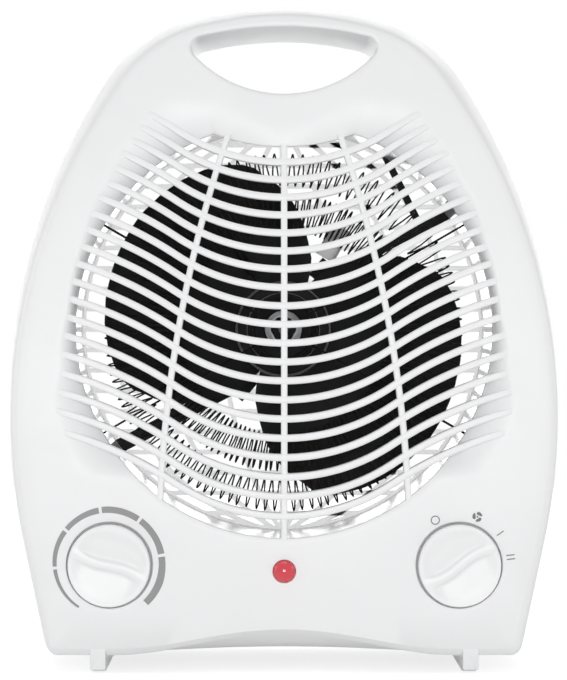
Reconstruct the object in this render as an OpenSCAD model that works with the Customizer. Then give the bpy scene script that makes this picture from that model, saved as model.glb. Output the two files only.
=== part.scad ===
// Fan convector heater: a free-standing electric heater in a two-shell plastic
// casing. The front faces -Y, the feet stand on Z = 0 and X runs to the right.

/* [Casing] */
// Width of the casing at its widest
body_w = 219; // [205:1:235]
// Height of the heater on its feet
body_h = 262; // [250:1:280]
// Depth from the knob fronts to the back face
body_d = 116; // [110:1:126]
// Width of the casing along its bottom edge
bottom_w = 191; // [180:1:200]
// Height at which the casing is widest
waist_z = 98; // [90:1:110]
// Height of the upright stretch above the widest place
waist_h = 6; // [1:1:12]
// Height over which the side curves inwards below its widest
low_bend_h = 48.4; // [40:0.2:60]
// Radius of the shoulder
shoulder_r = 55.5; // [48:0.5:62]
// Radius of the crown
crown_r = 150; // [130:5:180]
// Half angle of the crown's arc, in degrees
crown_half = 15; // [12:1:18]
// Radius of the bottom corners
corner_r = 4; // [3:0.5:8]
// Wall of both shells
wall = 2.2; // [1.6:0.1:3]
// Plane where the two shells meet, measured back from the heater's middle
parting_y = -8; // [-14:1:0]

/* [Front shell] */
// Height at which the front face stands furthest forward
bow_z = 75; // [60:1:90]
// Radius of the front face, seen from the side
bow_r = 820; // [700:10:1200]
// Draft of the front shell at the sides
edge_side = 3.5; // [1:0.5:5]
// Draft of the front shell at the foot of the sides
edge_low = 4.2; // [1:0.2:6]
// Draft of the front shell at the shoulders
edge_shoulder = 7; // [2:0.5:9]
// Draft of the front shell at the crown
edge_crown = 3.8; // [1:0.2:6]
// Rise of the front face's lower edge at the middle
lip_rise = 6.5; // [0:0.5:9]
// How soon the rise fades behind the face: higher is sooner
lip_fade = 1.2; // [1:0.2:8]
// Half width over which the lower edge rises
lip_half_w = 58; // [40:1:64]
// Depth of the dished zone beside the grille
dish_depth = 6; // [3:0.5:9]

/* [Rear shell] */
// Height up to which the back face is upright
back_flat_z = 165; // [150:1:180]
// Radius of the back face above that height
back_r = 190; // [170:5:260]
// Draft of the rear shell
edge_back = 5; // [3:0.5:8]
// Rounding of the back edge
back_round = 9; // [6:0.5:12]
// Radius of the cable hole in the back
inlet_r = 4.5; // [3:0.5:6]

/* [Handle] */
// Thickness of the handle above the finger opening
grip_h = 9; // [8:0.5:12]
// Depth of the finger opening below its top at the middle
grip_hole_h = 26.8; // [24:0.2:30]
// Radius of the finger opening's lower edge
grip_hole_r = 48; // [42:0.2:52]
// Radius of the finger opening's corners
grip_corner_r = 4.5; // [3:0.5:6]

/* [Air path] */
// Height of the air duct's underside
duct_floor_z = 48.4; // [44:0.2:54]
// Gap between the air duct and the floor of the handle
duct_top_gap = 4.4; // [3:0.2:8]
// Wall of the air duct
duct_wall = 1.6; // [1.2:0.1:2]
// How much smaller the front opening is than the air duct, in radius
front_rim = 2.7; // [2:0.1:4]
// How much larger the back opening is than the air duct, in radius
back_rim = 2; // [1.8:0.1:3]
// Clearance of each grille in its opening
grille_gap = 0.15; // [0.1:0.05:0.3]

/* [Front grille] */
// Number of curved bars
bar_count = 20; // [16:1:22]
// Drop of the top bar's middle below the top of the round opening
bar_drop = 16.2; // [14:0.2:18]
// Pitch of the bars at the top
bar_pitch = 6.86; // [6.4:0.02:7]
// How much each pitch grows on the way down
bar_growth = 0.042; // [0:0.002:0.06]
// Thickness of a bar
bar_t = 2.8; // [2:0.1:3.4]
// Depth of the bars and of the frame
bar_depth = 6; // [4:0.5:8]
// Radius of a bar's middle stretch
bar_r = 76; // [70:1:90]
// Half angle of a bar's middle stretch
bar_half = 33.4; // [28:0.2:36]
// Radius of a bar's outer stretches, which curve the other way
bar_out_r = 156; // [120:2:200]
// Width of the frame around the bars
frame_w = 2; // [1.5:0.1:3]
// Width of the upright ribs
rib_w = 2.5; // [2:0.1:3]
// Distance of a side rib from the middle at its top
rib_top_x = 25.4; // [22:0.2:28]
// Distance of a side rib from the middle at its bottom
rib_bottom_x = 48.4; // [44:0.2:52]
// Radius of the side ribs
rib_r = 520; // [400:10:700]

/* [Back grille] */
// Pitch of the straight bars
back_pitch = 8.6; // [8:0.1:10]
// Thickness of the straight bars
back_bar_t = 2; // [1.6:0.1:2.6]
// Depth of the back grille
back_grille_t = 3; // [2.4:0.2:4]
// Width of the back grille's frame
back_frame_w = 3; // [2:0.5:4]

/* [Feet] */
// Height of the feet
foot_h = 7; // [5:0.5:9]
// Width of a foot's runner
foot_w = 6; // [5:0.5:8]
// Distance of each runner from the casing's bottom edge
foot_inset = 23; // [17:0.5:26]
// Gap between the ends of the feet and the faces of the casing
foot_setback = 4; // [2:1:12]

/* [Knobs] */
// Radius of the knobs
knob_r = 15.9; // [15:0.1:17]
// Gap around each knob
knob_gap = 0.9; // [0.5:0.1:1.2]
// Distance of each knob from the middle
knob_x = 67.8; // [64:0.2:70]
// Height of the knobs' axes
knob_z = 42.3; // [40:0.1:46]
// How far a knob's disc stands out of the front face
disc_proud = 2.5; // [1.5:0.5:4]
// Height of the finger ridge above the knob's disc
ridge_h = 3.2; // [2:0.2:5]
// Width of the finger ridge
ridge_w = 2.8; // [2.4:0.2:5]
// How far the ridge's S shape swings to each side
ridge_swing = 1.2; // [0:0.1:2]
// Direction of the thermostat knob's pointer at rest, in degrees above +X
thermostat_angle = -24; // [-46:1:235]
// Direction of the switch knob's pointer at rest, in degrees above +X
switch_angle = 27; // [9:1:118]
// Thickness of the knob's disc
disc_t = 5; // [4:0.5:7]
// Radius of the spindles
spindle_r = 3; // [2.5:0.1:3.5]
// Running clearance of spindles and shafts in their bores
running_gap = 0.05; // [0.02:0.01:0.08]
// Slip fit of knobs, nuts and bushes on what they hold
slip_gap = 0.02; // [0.01:0.01:0.05]

/* [Indicator] */
// Radius of the indicator lens
lens_r = 4.4; // [4:0.1:6]
// How far the lens stands out of the front face
lens_proud = 2.4; // [1.5:0.1:3]
// Height of the indicator
lens_z = 39.9; // [36:0.1:44]

/* [Fan and motor] */
// Clearance between the fan's tips and the air duct
tip_gap = 10; // [6:0.5:12]
// Radius of the fan's hub
hub_r = 19; // [16:0.5:21]
// Depth of the fan along its axis
fan_depth = 16; // [12:0.5:18]
// Front of the fan's hub, measured back from the heater's middle
fan_y = 0; // [-2:0.5:2]
// Thickness of a fan blade
blade_t = 1.4; // [1:0.1:2]
// Half the angle that a blade covers at the hub
blade_half = 90; // [80:1:92]
// Direction of the first blade at rest, in degrees above +X
fan_angle = 151; // [0:1:180]
// Radius of the motor shaft
shaft_r = 2; // [1.5:0.1:3]
// Radius of the rotor
rotor_r = 14; // [12:0.5:16]
// Air gap around the rotor
air_gap = 0.4; // [0.3:0.05:0.8]
// Width of the motor's core
core_w = 48; // [42:1:52]
// Height of the motor's core
core_h = 56; // [52:1:62]
// Thickness of the core's stack
core_t = 14; // [10:1:18]
// Distance from the core to each bearing bracket
bracket_gap = 6; // [5:0.5:8]
// Thickness of the bearing brackets
bracket_t = 1.6; // [1.2:0.1:2]
// Direction of the motor's tie screws, in degrees above +X
motor_angle = 50; // [30:1:60]
// Width of the plate that carries the motor
support_w = 13; // [10:1:18]
// Direction in which the plate's struts meet the air duct, in degrees above +X
support_angle = 35; // [30:1:45]
// Width of the struts
strut_w = 6; // [4:0.5:8]

/* [Heating element] */
// Thickness of the mica boards
mica_t = 0.8; // [0.5:0.1:1.2]
// Depth of the mica boards
mica_depth = 22; // [18:1:26]
// Number of mica arms
mica_arms = 6; // [4:2:8]
// Front of the mica boards, measured back from the heater's middle
mica_y = -32; // [-34:0.5:-30]
// Distance from the air duct to the outer coil
coil_edge = 11; // [8:0.5:12]
// Width of the outer coil, across its turns
outer_coil_w = 13; // [11:0.5:15]
// Space between the two coils
coil_space = 4; // [3:0.5:6]
// Width of the inner coil, across its turns
inner_coil_w = 16; // [14:0.5:18]
// Depth of the coils
coil_depth = 10; // [8:1:14]
// Clearance of the coils in the mica boards
coil_gap = 0.1; // [0.05:0.05:0.3]

/* [Fasteners] */
// Radius of a casing screw's shank
screw_r = 1.6; // [1.3:0.1:2]
// Radius of a casing screw's head
screw_head_r = 3; // [2.5:0.1:3.5]
// Clearance around screws
screw_gap = 0.1; // [0.05:0.05:0.3]
// Outer radius of the screw pillars
pillar_r = 4.6; // [4.4:0.1:6]
// Distance of the lower pillars from the casing's bottom edge
pillar_low_inset = 12.5; // [10:0.5:16]
// Height of the lower pillars
pillar_low_z = 20; // [18:1:26]
// Distance of the upper pillars from the casing's widest point, across
pillar_high_inset = 41.5; // [39:0.5:44]
// Distance of the upper pillars below the crown
pillar_high_drop = 56; // [54:0.5:59]
// How far the casing screws reach into the front pillars
screw_bite = 11.5; // [8:0.5:14]
// Depth of material under the casing screws' heads
screw_seat = 8; // [5:0.5:12]

/* [Hidden] */
$fn = 64;

// The front face at the knobs' height carries them this far forward.
knob_face_y = -body_d / 2 + disc_proud + ridge_h;
front_y = knob_face_y - bow_r + sqrt(bow_r * bow_r - (knob_z - bow_z) * (knob_z - bow_z));
back_y = body_d / 2;

// The handle's opening leaves a floor; the air duct fills the height below it.
grip_top_z = body_h - grip_h;
cavity_top = grip_top_z - grip_hole_h - wall;
duct_top_z = cavity_top - duct_top_gap;
axis_z = (duct_floor_z + duct_top_z) / 2;
duct_r = (duct_top_z - duct_floor_z) / 2 - duct_wall;
front_open_r = duct_r - front_rim;
back_open_r = duct_r + back_rim;
fan_r = duct_r - tip_gap;
coil_tip_r = duct_r - coil_edge;
coil_out_r = coil_tip_r - outer_coil_w;
coil_mid_r = coil_out_r - coil_space;
coil_in_r = coil_mid_r - inner_coil_w;
bar_top_z = axis_z + front_open_r - bar_drop;
foot_x = bottom_w / 2 - foot_inset;
pillar_low_x = bottom_w / 2 - pillar_low_inset;
pillar_high_x = body_w / 2 - pillar_high_inset;
pillar_high_z = body_h - pillar_high_drop;

// A surface point is [x, z] on the outline and y in depth.
// Depth of the front face at height z: an arc that leans back towards the top.
function face_y(z) = front_y + bow_r - sqrt(bow_r * bow_r - (z - bow_z) * (z - bow_z));
// Depth of the back face at height z: upright, then an arc towards the handle.
function rear_y(z) = back_y - (z <= back_flat_z ? 0
    : back_r - sqrt(back_r * back_r - pow(z - back_flat_z, 2)));

// The outline is a chain of arcs: low side, high side, shoulder, crown.
crown_a = 90 - crown_half;
crown_z = body_h - crown_r;
shoulder_x = (crown_r - shoulder_r) * cos(crown_a);
shoulder_z = crown_z + (crown_r - shoulder_r) * sin(crown_a);
reach_x = body_w / 2 - shoulder_x;
reach_z = shoulder_z - waist_z - waist_h;
high_side_r = (reach_x * reach_x + reach_z * reach_z - shoulder_r * shoulder_r) / 2 / (reach_x - shoulder_r);
high_a = atan2(reach_z, high_side_r - reach_x);
low_dx = (body_w - bottom_w) / 2;
low_dz = waist_z - foot_h;
// Lean of the side's straight lower stretch, found in n steps from its half tangent t.
function low_turn(t, n) = n == 0 ? 2 * atan(t)
    : low_turn(low_dx / (2 * (low_dz - low_bend_h) / (1 - t * t) + low_bend_h), n - 1);
low_a = -low_turn(0, 6);
low_side_r = low_bend_h / sin(-low_a);

function polar(r, a) = [r * cos(a), r * sin(a)];
// Draft at the outline's direction a, in proportion m, plus an even inset.
function inset(a, m, even, side, shoulder, crown, low) = even + m * lookup(a,
    [[-90, 0], [low_a, low], [0, side], [high_a, shoulder], [crown_a, shoulder * 0.35 + crown * 0.65],
     [90, crown]]);
// Rise of the lower edge at distance x, which fades out behind the face.
function lip(x, m, rise) = rise * pow(m, lip_fade) * max(0, 1 - pow(x / lip_half_w, 2));

// Right half of the outline, from the middle of the bottom to the crown.
function half_outline(m, even, d) = let(
    at = function(a) inset(a, m, even, d[1], d[2], d[3], d[4]),
    base_z = foot_h + at(-90),
    r = max(corner_r - even / 2, 1.5),
    side_n = polar(1, low_a),
    side_p = [body_w / 2 - low_side_r, waist_z] + (low_side_r - at(low_a)) * side_n,
    corner_z = base_z + r,
    corner_x = (side_p * side_n - r - side_n[1] * corner_z) / side_n[0])
    concat(
        [for (k = [0:6]) let(x = corner_x * k / 7) [x, base_z + lip(x, m, d[0])]],
        [for (k = [0:3]) [corner_x, corner_z] + polar(r, -90 + k / 3 * (low_a + 90))],
        [for (k = [1:2]) ([corner_x, corner_z] + r * side_n) * (1 - k / 3) + side_p * k / 3],
        [for (k = [0:4]) [body_w / 2 - low_side_r, waist_z]
            + polar(low_side_r - at(low_a * (1 - k / 4)), low_a * (1 - k / 4))],
        [for (k = [0:9]) [body_w / 2 - high_side_r, waist_z + waist_h]
            + polar(high_side_r - at(high_a * k / 10), high_a * k / 10)],
        [for (k = [0:7]) let(a = high_a + (crown_a - high_a) * k / 8)
            [shoulder_x, shoulder_z] + polar(shoulder_r - at(a), a)],
        [for (k = [0:4]) let(a = crown_a + (90 - crown_a) * k / 4)
            [0, crown_z] + polar(crown_r - at(a), a)]);
// The whole outline: the right half and its mirror image.
function outline(m, even, d) = let(h = half_outline(m, even, d), n = len(h))
    concat(h, [for (k = [n - 2:-1:1]) [-h[k][0], h[k][1]]]);

front_draft = [lip_rise, edge_side, edge_shoulder, edge_crown, edge_low];
back_draft = [0, edge_back, edge_back, edge_back, edge_back / 2];

// Closed skin from rings of points; the last ring joins the first.
module ring_solid(rings) {
    m = len(rings);
    n = len(rings[0]);
    points = [for (ring = rings) each ring];
    faces = [for (r = [0:m - 1], k = [0:n - 1])
        let(a = r * n + k, b = r * n + (k + 1) % n,
            c = ((r + 1) % m) * n + (k + 1) % n, d = ((r + 1) % m) * n + k)
        each [[a, c, b], [a, d, c]]];
    polyhedron(points, faces, convexity = 8);
}

// Places a drawing in the XZ plane, with its thickness running back from y.
module at_depth(y, t) {
    translate([0, y + t, 0]) rotate([90, 0, 0]) linear_extrude(t) children();
}
// Cylinder along Y from depth y.
module post(x, y, z, r, t) {
    translate([x, y + t, z]) rotate([90, 0, 0]) cylinder(r = r, h = t);
}

// ---- Openings ----
grille_edge_z = bar_top_z + bar_pitch - bar_t / 4;
// Edge of the front opening in direction a: a circle with its top cut by a bar-shaped arc.
function open_edge(a, grow) = let(
    p = [0, axis_z] + polar((front_open_r + grow), a),
    cut = grille_edge_z + grow + bar_r - (abs(p[0]) < bar_r ? sqrt(bar_r * bar_r - p[0] * p[0]) : 0))
    abs(p[0]) < bar_r && p[1] > cut ? [p[0], cut] : p;
// Outer edge of the dished zone beside the opening, as a distance from the axis.
function dish_r(a) = let(side = a > 90 ? 180 - a : a < -90 ? -180 - a : a)
    front_open_r + lookup(side, [[-90, 2.5], [-45, 3], [-34, 17], [-20, 15], [-8, 7], [6, 3.5], [20, 4.5],
        [38, 10], [50, 16], [60, 22], [72, 16], [90, 8]]);
function direction(p) = atan2(p[1] - axis_z, p[0]);
// Depth of the dish at the opening's edge in direction a.
function dish_edge(a) = let(side = a > 90 ? 180 - a : a < -90 ? -180 - a : a)
    lookup(side, [[-90, 0.4], [-45, 0.6], [-34, dish_depth], [60, dish_depth], [75, dish_depth / 2], [90, 1]]);

module front_opening(grow) {
    difference() {
        translate([0, axis_z]) circle(r = front_open_r + grow, $fn = 96);
        translate([0, grille_edge_z + grow + bar_r]) circle(r = bar_r, $fn = 96);
    }
}

// Finger opening under the handle: a crown arc above, a deeper arc below.
module finger_hole(grow = 0) {
    offset(r = grip_corner_r + grow, $fn = 48) offset(delta = -grip_corner_r) intersection() {
        translate([0, crown_z]) circle(r = crown_r - grip_h, $fn = 180);
        translate([0, grip_top_z - grip_hole_h + grip_hole_r]) circle(r = grip_hole_r, $fn = 120);
    }
}
// Hollow of the handle around the finger opening, inside the walls, and how far
// it reaches into each shell.
hollow_front = 14;
hollow_back = 20;
module grip_hollow(draft) {
    difference() {
        intersection() {
            polygon(outline(1, wall + 1, draft));
            translate([-body_w / 2, grip_top_z - grip_hole_h + 1]) square([body_w, body_h]);
        }
        finger_hole(wall);
    }
}

// ---- Shells ----
pillars = [[pillar_low_x, pillar_low_z], [-pillar_low_x, pillar_low_z],
    [pillar_high_x, pillar_high_z], [-pillar_high_x, pillar_high_z]];
// Keeps a point of the inner skins below the handle's floor.
function under(p) = [p[0], min(p[1], cavity_top + 0.001 * p[1])];

// Point of the front face at the share s of the way from the edge to the opening.
function face_point(p, edge_in, s, lift, cap) = let(
    o = open_edge(direction(p), 0.15),
    q = cap ? under(p * (1 - s) + o * s) : p * (1 - s) + o * s)
    [q[0], face_y(q[1]) + lift, q[1]];

module front_casing() {
    rim = outline(0, 0, front_draft);
    mid = outline(0.5, 0, front_draft);
    low = outline(0.9, 0, front_draft);
    crease = outline(1, 0, front_draft);
    crest = outline(1, 0.9, front_draft);
    face = outline(1, 3, front_draft);
    inner = outline(1, wall + 1, front_draft);
    rim_in = outline(0, wall, front_draft);
    dished = [for (p = face) let(a = direction(p), q = [0, axis_z] + polar(dish_r(a), a),
        o = open_edge(a, (dish_r(a) - front_open_r))) o];
    opening = [for (p = face) open_edge(direction(p), 0.15)];
    rings = [
        [for (p = rim) [p[0], parting_y, p[1]]],
        [for (p = mid) [p[0], parting_y * 0.5 + face_y(p[1]) * 0.5, p[1]]],
        [for (p = low) [p[0], parting_y * 0.15 + face_y(p[1]) * 0.85, p[1]]],
        [for (p = crease) [p[0], face_y(p[1]) + 2.4, p[1]]],
        [for (p = crest) [p[0], face_y(p[1]) + 0.7, p[1]]],
        [for (p = face) [p[0], face_y(p[1]), p[1]]],
        [for (k = [0:len(face) - 1]) let(q = (face[k] + dished[k]) / 2) [q[0], face_y(q[1]), q[1]]],
        [for (q = dished) [q[0], face_y(q[1]), q[1]]],
        [for (k = [0:len(face) - 1]) let(q = (dished[k] + 2 * opening[k]) / 3, a = direction(q))
            [q[0], face_y(q[1]) + dish_edge(a) * 0.45, q[1]]],
        [for (q = opening) [q[0], face_y(q[1]) + dish_edge(direction(q)), q[1]]],
        [for (q = opening) [q[0], face_y(q[1]) + dish_edge(direction(q)) + wall, q[1]]],
        [for (q = dished) let(p = under(q)) [p[0], face_y(p[1]) + dish_edge(direction(q)) + wall, p[1]]],
        [for (q = inner) let(p = under(q)) [p[0], face_y(p[1]) + wall + 1, p[1]]],
        [for (q = rim_in) let(p = under(q)) [p[0], parting_y, p[1]]]
    ];
    color("white") difference() {
        union() {
            ring_solid(rings);
            for (p = pillars)
                post(p[0], face_y(p[1]) + wall / 2, p[1], pillar_r, parting_y - face_y(p[1]) - wall / 2);
        }
        at_depth(-body_d, 2 * body_d) finger_hole();
        at_depth(parting_y - hollow_front, 2 * hollow_front) grip_hollow(front_draft);
        for (x = [-knob_x, knob_x]) post(x, -body_d, knob_z, knob_r + knob_gap, body_d);
        post(0, -body_d, lens_z, lens_r, body_d);
        for (p = pillars) post(p[0], parting_y - screw_bite - 0.5, p[1], screw_r, 2 * screw_bite);
    }
}

inlet_x = 47.75;
inlet_z = 21;

module rear_casing() {
    rim = outline(0, 0, back_draft);
    mid = outline(0.6, 0, back_draft);
    shelf = outline(1, 0, back_draft);
    rounds = [for (t = [30, 60, 90])
        [outline(1, back_round * (1 - cos(t)), back_draft), back_round * (1 - sin(t))]];
    inner = outline(1, back_round, back_draft);
    shelf_in = outline(1, wall, back_draft);
    rim_in = outline(0, wall, back_draft);
    ring = [for (p = inner) [0, axis_z] + polar(back_open_r + 0.15, direction(p))];
    between = [for (k = [0:len(ring) - 1]) (inner[k] + ring[k]) / 2];
    rings = [
        [for (p = rim_in) let(q = under(p)) [q[0], parting_y, q[1]]],
        [for (p = shelf_in) let(q = under(p)) [q[0], rear_y(q[1]) - back_round, q[1]]],
        [for (p = inner) let(q = under(p)) [q[0], rear_y(q[1]) - wall, q[1]]],
        [for (p = between) let(q = under(p)) [q[0], rear_y(q[1]) - wall, q[1]]],
        [for (p = ring) [p[0], rear_y(p[1]) - wall, p[1]]],
        [for (p = ring) [p[0], rear_y(p[1]), p[1]]],
        [for (p = between) [p[0], rear_y(p[1]), p[1]]],
        for (k = [2:-1:0]) [for (p = rounds[k][0]) [p[0], rear_y(p[1]) - rounds[k][1], p[1]]],
        [for (p = shelf) [p[0], rear_y(p[1]) - back_round, p[1]]],
        [for (p = mid) [p[0], parting_y * 0.45 + (rear_y(p[1]) - back_round) * 0.55, p[1]]],
        [for (p = rim) [p[0], parting_y, p[1]]]
    ];
    color("white") difference() {
        union() {
            ring_solid(rings);
            for (p = pillars)
                post(p[0], parting_y, p[1], pillar_r, rear_y(p[1] + pillar_r) - wall / 2 - parting_y);
        }
        at_depth(-body_d, 2 * body_d) finger_hole();
        at_depth(parting_y - hollow_back, 2 * hollow_back) grip_hollow(back_draft);
        for (p = pillars) {
            post(p[0], parting_y - 1, p[1], screw_r + screw_gap, body_d);
            post(p[0], parting_y + screw_seat, p[1], screw_head_r + screw_gap, body_d);
        }
        post(-inlet_x, 0, inlet_z, inlet_r, body_d);
    }
}

// ---- Grilles ----
// Slab that follows the front face, bar_depth thick.
module face_slab(set_in, t) {
    translate([-body_w, 0, 0]) rotate([90, 0, 90]) linear_extrude(2 * body_w) intersection() {
        difference() {
            translate([front_y + set_in + bow_r, bow_z]) circle(r = bow_r, $fn = 360);
            translate([front_y + set_in + t + bow_r, bow_z]) circle(r = bow_r, $fn = 360);
        }
        translate([-body_d, 0]) square([body_d, body_h]);
    }
}

function bar_z(k) = bar_top_z - bar_pitch * k - bar_growth / 2 * k * k;
inflect_x = bar_r * sin(bar_half);
inflect_z = bar_r * (1 - cos(bar_half));

// Arc-shaped band between two angles, centred on its own circle.
module band(r, t, a0, a1) {
    far = 2 * r;
    intersection() {
        difference() {
            circle(r = r + t / 2, $fn = 180);
            circle(r = r - t / 2, $fn = 180);
        }
        polygon([[0, 0], polar(far, a0), polar(far, (a0 + a1) / 2), polar(far, a1)]);
    }
}

// One bar: a sagging arc whose ends curve the other way.
module bar(z) {
    translate([0, z + bar_r]) band(bar_r, bar_t, -90 - bar_half, -90 + bar_half);
    for (side = [0, 1]) mirror([side, 0])
        translate([inflect_x + bar_out_r * sin(bar_half), z + inflect_z - bar_out_r * cos(bar_half)])
            band(bar_out_r, bar_t, 90 + bar_half * 0.35, 90 + bar_half);
}

rib_top = [rib_top_x, bar_z(0)];
rib_bottom = [rib_bottom_x, bar_z(bar_count - 1)];
// Centre of the arc of radius r that runs from p to q and bulges to the right.
function arc_centre(p, q, r) = let(d = q - p, l = norm(d), m = (p + q) / 2, n = [-d[1], d[0]] / l)
    m - n * sqrt(r * r - l * l / 4);

module ribs() {
    translate([-rib_w / 2, 0]) square([rib_w, body_h]);
    for (side = [0, 1]) mirror([side, 0]) translate(arc_centre(rib_top, rib_bottom, rib_r)) difference() {
        circle(r = rib_r + rib_w / 2, $fn = 360);
        circle(r = rib_r - rib_w / 2, $fn = 360);
    }
}

module front_grille() {
    color("white") intersection() {
        at_depth(-body_d, body_d) union() {
            intersection() {
                front_opening(-grille_gap - frame_w / 2);
                union() {
                    for (k = [0:bar_count - 1]) bar(bar_z(k));
                    ribs();
                }
            }
            difference() {
                front_opening(-grille_gap);
                front_opening(-grille_gap - frame_w);
            }
        }
        face_slab(0.3, bar_depth);
    }
}

// The back grille stands this far inside the back face.
back_set_in = 0.2;
// Slab that follows the back face.
module back_slab(set_in, t) {
    translate([-body_w, 0, 0]) rotate([90, 0, 90]) linear_extrude(2 * body_w) union() {
        translate([back_y - set_in - t, 0]) square([t, back_flat_z]);
        intersection() {
            difference() {
                translate([back_y - set_in - back_r, back_flat_z]) circle(r = back_r, $fn = 360);
                translate([back_y - set_in - back_r, back_flat_z]) circle(r = back_r - t, $fn = 360);
            }
            translate([0, back_flat_z]) square([body_d, body_h]);
        }
    }
}

module rear_grille() {
    r = back_open_r - grille_gap;
    meridians = [0.29, 0.59, 0.82];
    color("white") intersection() {
        at_depth(0, body_d) translate([0, axis_z]) union() {
            intersection() {
                circle(r = r - back_frame_w / 2, $fn = 120);
                union() {
                    for (k = [-9:9]) translate([-r, k * back_pitch - back_bar_t / 2])
                        square([2 * r, back_bar_t]);
                    translate([-rib_w / 2, -r]) square([rib_w, 2 * r]);
                    for (m = meridians, side = [-1, 1]) {
                        arc_r = r * (1 + m * m) / 2 / m;
                        translate([side * (m * r - arc_r), 0]) difference() {
                            circle(r = arc_r + back_bar_t / 2, $fn = 180);
                            circle(r = arc_r - back_bar_t / 2, $fn = 180);
                        }
                    }
                }
            }
            difference() {
                circle(r = r, $fn = 120);
                circle(r = r - back_frame_w, $fn = 120);
            }
        }
        back_slab(back_set_in, back_grille_t);
    }
}

// ---- Feet ----
module foot(side) {
    flare = foot_h * 0.55;
    inner = foot_x - foot_w / 2;
    front = face_y(foot_h) + foot_setback;
    color("white") mirror([side, 0, 0]) at_depth(front, back_y - edge_back - foot_setback - front)
        difference() {
            polygon([[inner - flare, foot_h], [inner - flare, foot_h - flare], [inner, foot_h - flare],
                [inner, 0], [foot_x + foot_w / 2, 0], [foot_x + foot_w / 2, foot_h]]);
            translate([inner - flare, foot_h - flare - 0.8]) circle(r = flare);
        }
}
module foot_left() { foot(1); }
module foot_right() { foot(0); }

// ---- Controls ----
plate_t = 2;
// Room between the knobs' discs and the plate.
plate_room = 9;
plate_y = front_y + disc_proud + disc_t + plate_room;
plate_margin = 24;
plate_below = 16;
plate_above = 9;
plate_half_w = knob_x + plate_margin;
plate_post_r = 3;
plate_post_inset = 4;
plate_post_mid = 14;
// Depth of the shell's inner side behind its face.
inner_face = wall + 1.2;
// The knobs' hubs end this far in front of the plate.
hub_room = 6;
hub_front = plate_y - hub_room;
bush_wall = 2;
bush_r = spindle_r + bush_wall;
nut_t = 2.5;
nut_rim = 2.4;

module control_plate() {
    color("gainsboro") difference() {
        union() {
            at_depth(plate_y, plate_t) offset(r = plate_post_r) offset(delta = -plate_post_r)
                translate([-plate_half_w, knob_z - plate_below])
                    square([2 * plate_half_w, plate_below + plate_above]);
            for (side = [-1, 1], x = [plate_half_w - plate_post_inset, plate_post_mid],
                z = [knob_z - plate_below + 2 * plate_post_r, knob_z + plate_above - plate_post_inset])
                post(side * x, face_y(z) + inner_face, z, plate_post_r, plate_y - face_y(z) - inner_face);
        }
        for (x = [-knob_x, knob_x]) post(x, plate_y - 1, knob_z, bush_r + slip_gap, plate_t + 2);
        post(0, plate_y - 1, lens_z, lens_r + slip_gap, plate_t + 2);
    }
}

// Wall of a knob's hub, and the space left in front of the spindle in its bore.
hub_wall = 3;
bore_gap = 0.5;
// Outline of the S-shaped finger ridge, which runs from rim to rim along +X.
function ridge_mid(x) = ridge_swing * sin(180 * x / knob_r);
module ridge_outline() {
    reach = knob_r + 1;
    xs = [for (k = [-12:12]) reach * k / 12];
    intersection() {
        circle(r = knob_r - 0.4, $fn = 96);
        polygon(concat([for (x = xs) [x, ridge_mid(x) - ridge_w / 2]],
            [for (k = [len(xs) - 1:-1:0]) [xs[k], ridge_mid(xs[k]) + ridge_w / 2]]));
    }
}
// Knob: a disc with the finger ridge on its face and a hub for the spindle behind it.
module knob(x, a) {
    y = knob_face_y - disc_proud;
    color("white") difference() {
        union() {
            post(x, y, knob_z, knob_r, disc_t);
            post(x, y + disc_t - 0.5, knob_z, spindle_r + hub_wall, hub_front - y - disc_t + 0.5);
            at_depth(y - ridge_h, ridge_h + 1) translate([x, knob_z]) rotate(a) ridge_outline();
        }
        post(x, y + disc_t / 2 - bore_gap, knob_z, spindle_r + slip_gap, body_d / 2);
    }
}
module spindle(x, reach) {
    y = knob_face_y - disc_proud + disc_t / 2;
    color("silver") post(x, y, knob_z, spindle_r, plate_y + plate_t + reach - y);
}
module bush_nut(x) {
    color("silver") difference() {
        translate([x, plate_y, knob_z]) rotate([90, 0, 0]) cylinder(r = bush_r + nut_rim, h = nut_t, $fn = 6);
        post(x, plate_y - nut_t - 1, knob_z, bush_r + slip_gap, nut_t + 2);
    }
}
// Threaded bush that stands through the plate and its nut, with a bore for the spindle.
bush_over = 1;
module bush(x, y1) {
    difference() {
        post(x, plate_y - nut_t - bush_over, knob_z, bush_r, y1 - plate_y + nut_t + bush_over);
        post(x, plate_y - 2 * nut_t - 1, knob_z, spindle_r + running_gap, y1 - plate_y + 2 * nut_t + 3);
    }
}

device_y = plate_y + plate_t;
therm_t = 5;
therm_w = 20;
therm_below = 14;
therm_above = 16;
therm_corner = 2;
strip_w = 8;
strip_t = 0.6;
contact_lift = 1.5;
bimetal_lift = 5;
rivet_r = 2;
rivet_h = 7;
module thermostat_knob() { knob(-knob_x, thermostat_angle); }
module thermostat_spindle() { spindle(-knob_x, therm_t + 4); }
module thermostat_nut() { bush_nut(-knob_x); }
module thermostat_body() {
    color("tan") difference() {
        union() {
            bush(-knob_x, device_y + therm_t);
            at_depth(device_y, therm_t) offset(r = therm_corner) offset(delta = -therm_corner)
                translate([-knob_x - therm_w / 2, knob_z - therm_below])
                    square([therm_w, therm_below + therm_above]);
        }
        post(-knob_x, device_y - 1, knob_z, spindle_r + running_gap, therm_t + 2);
    }
}
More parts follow.
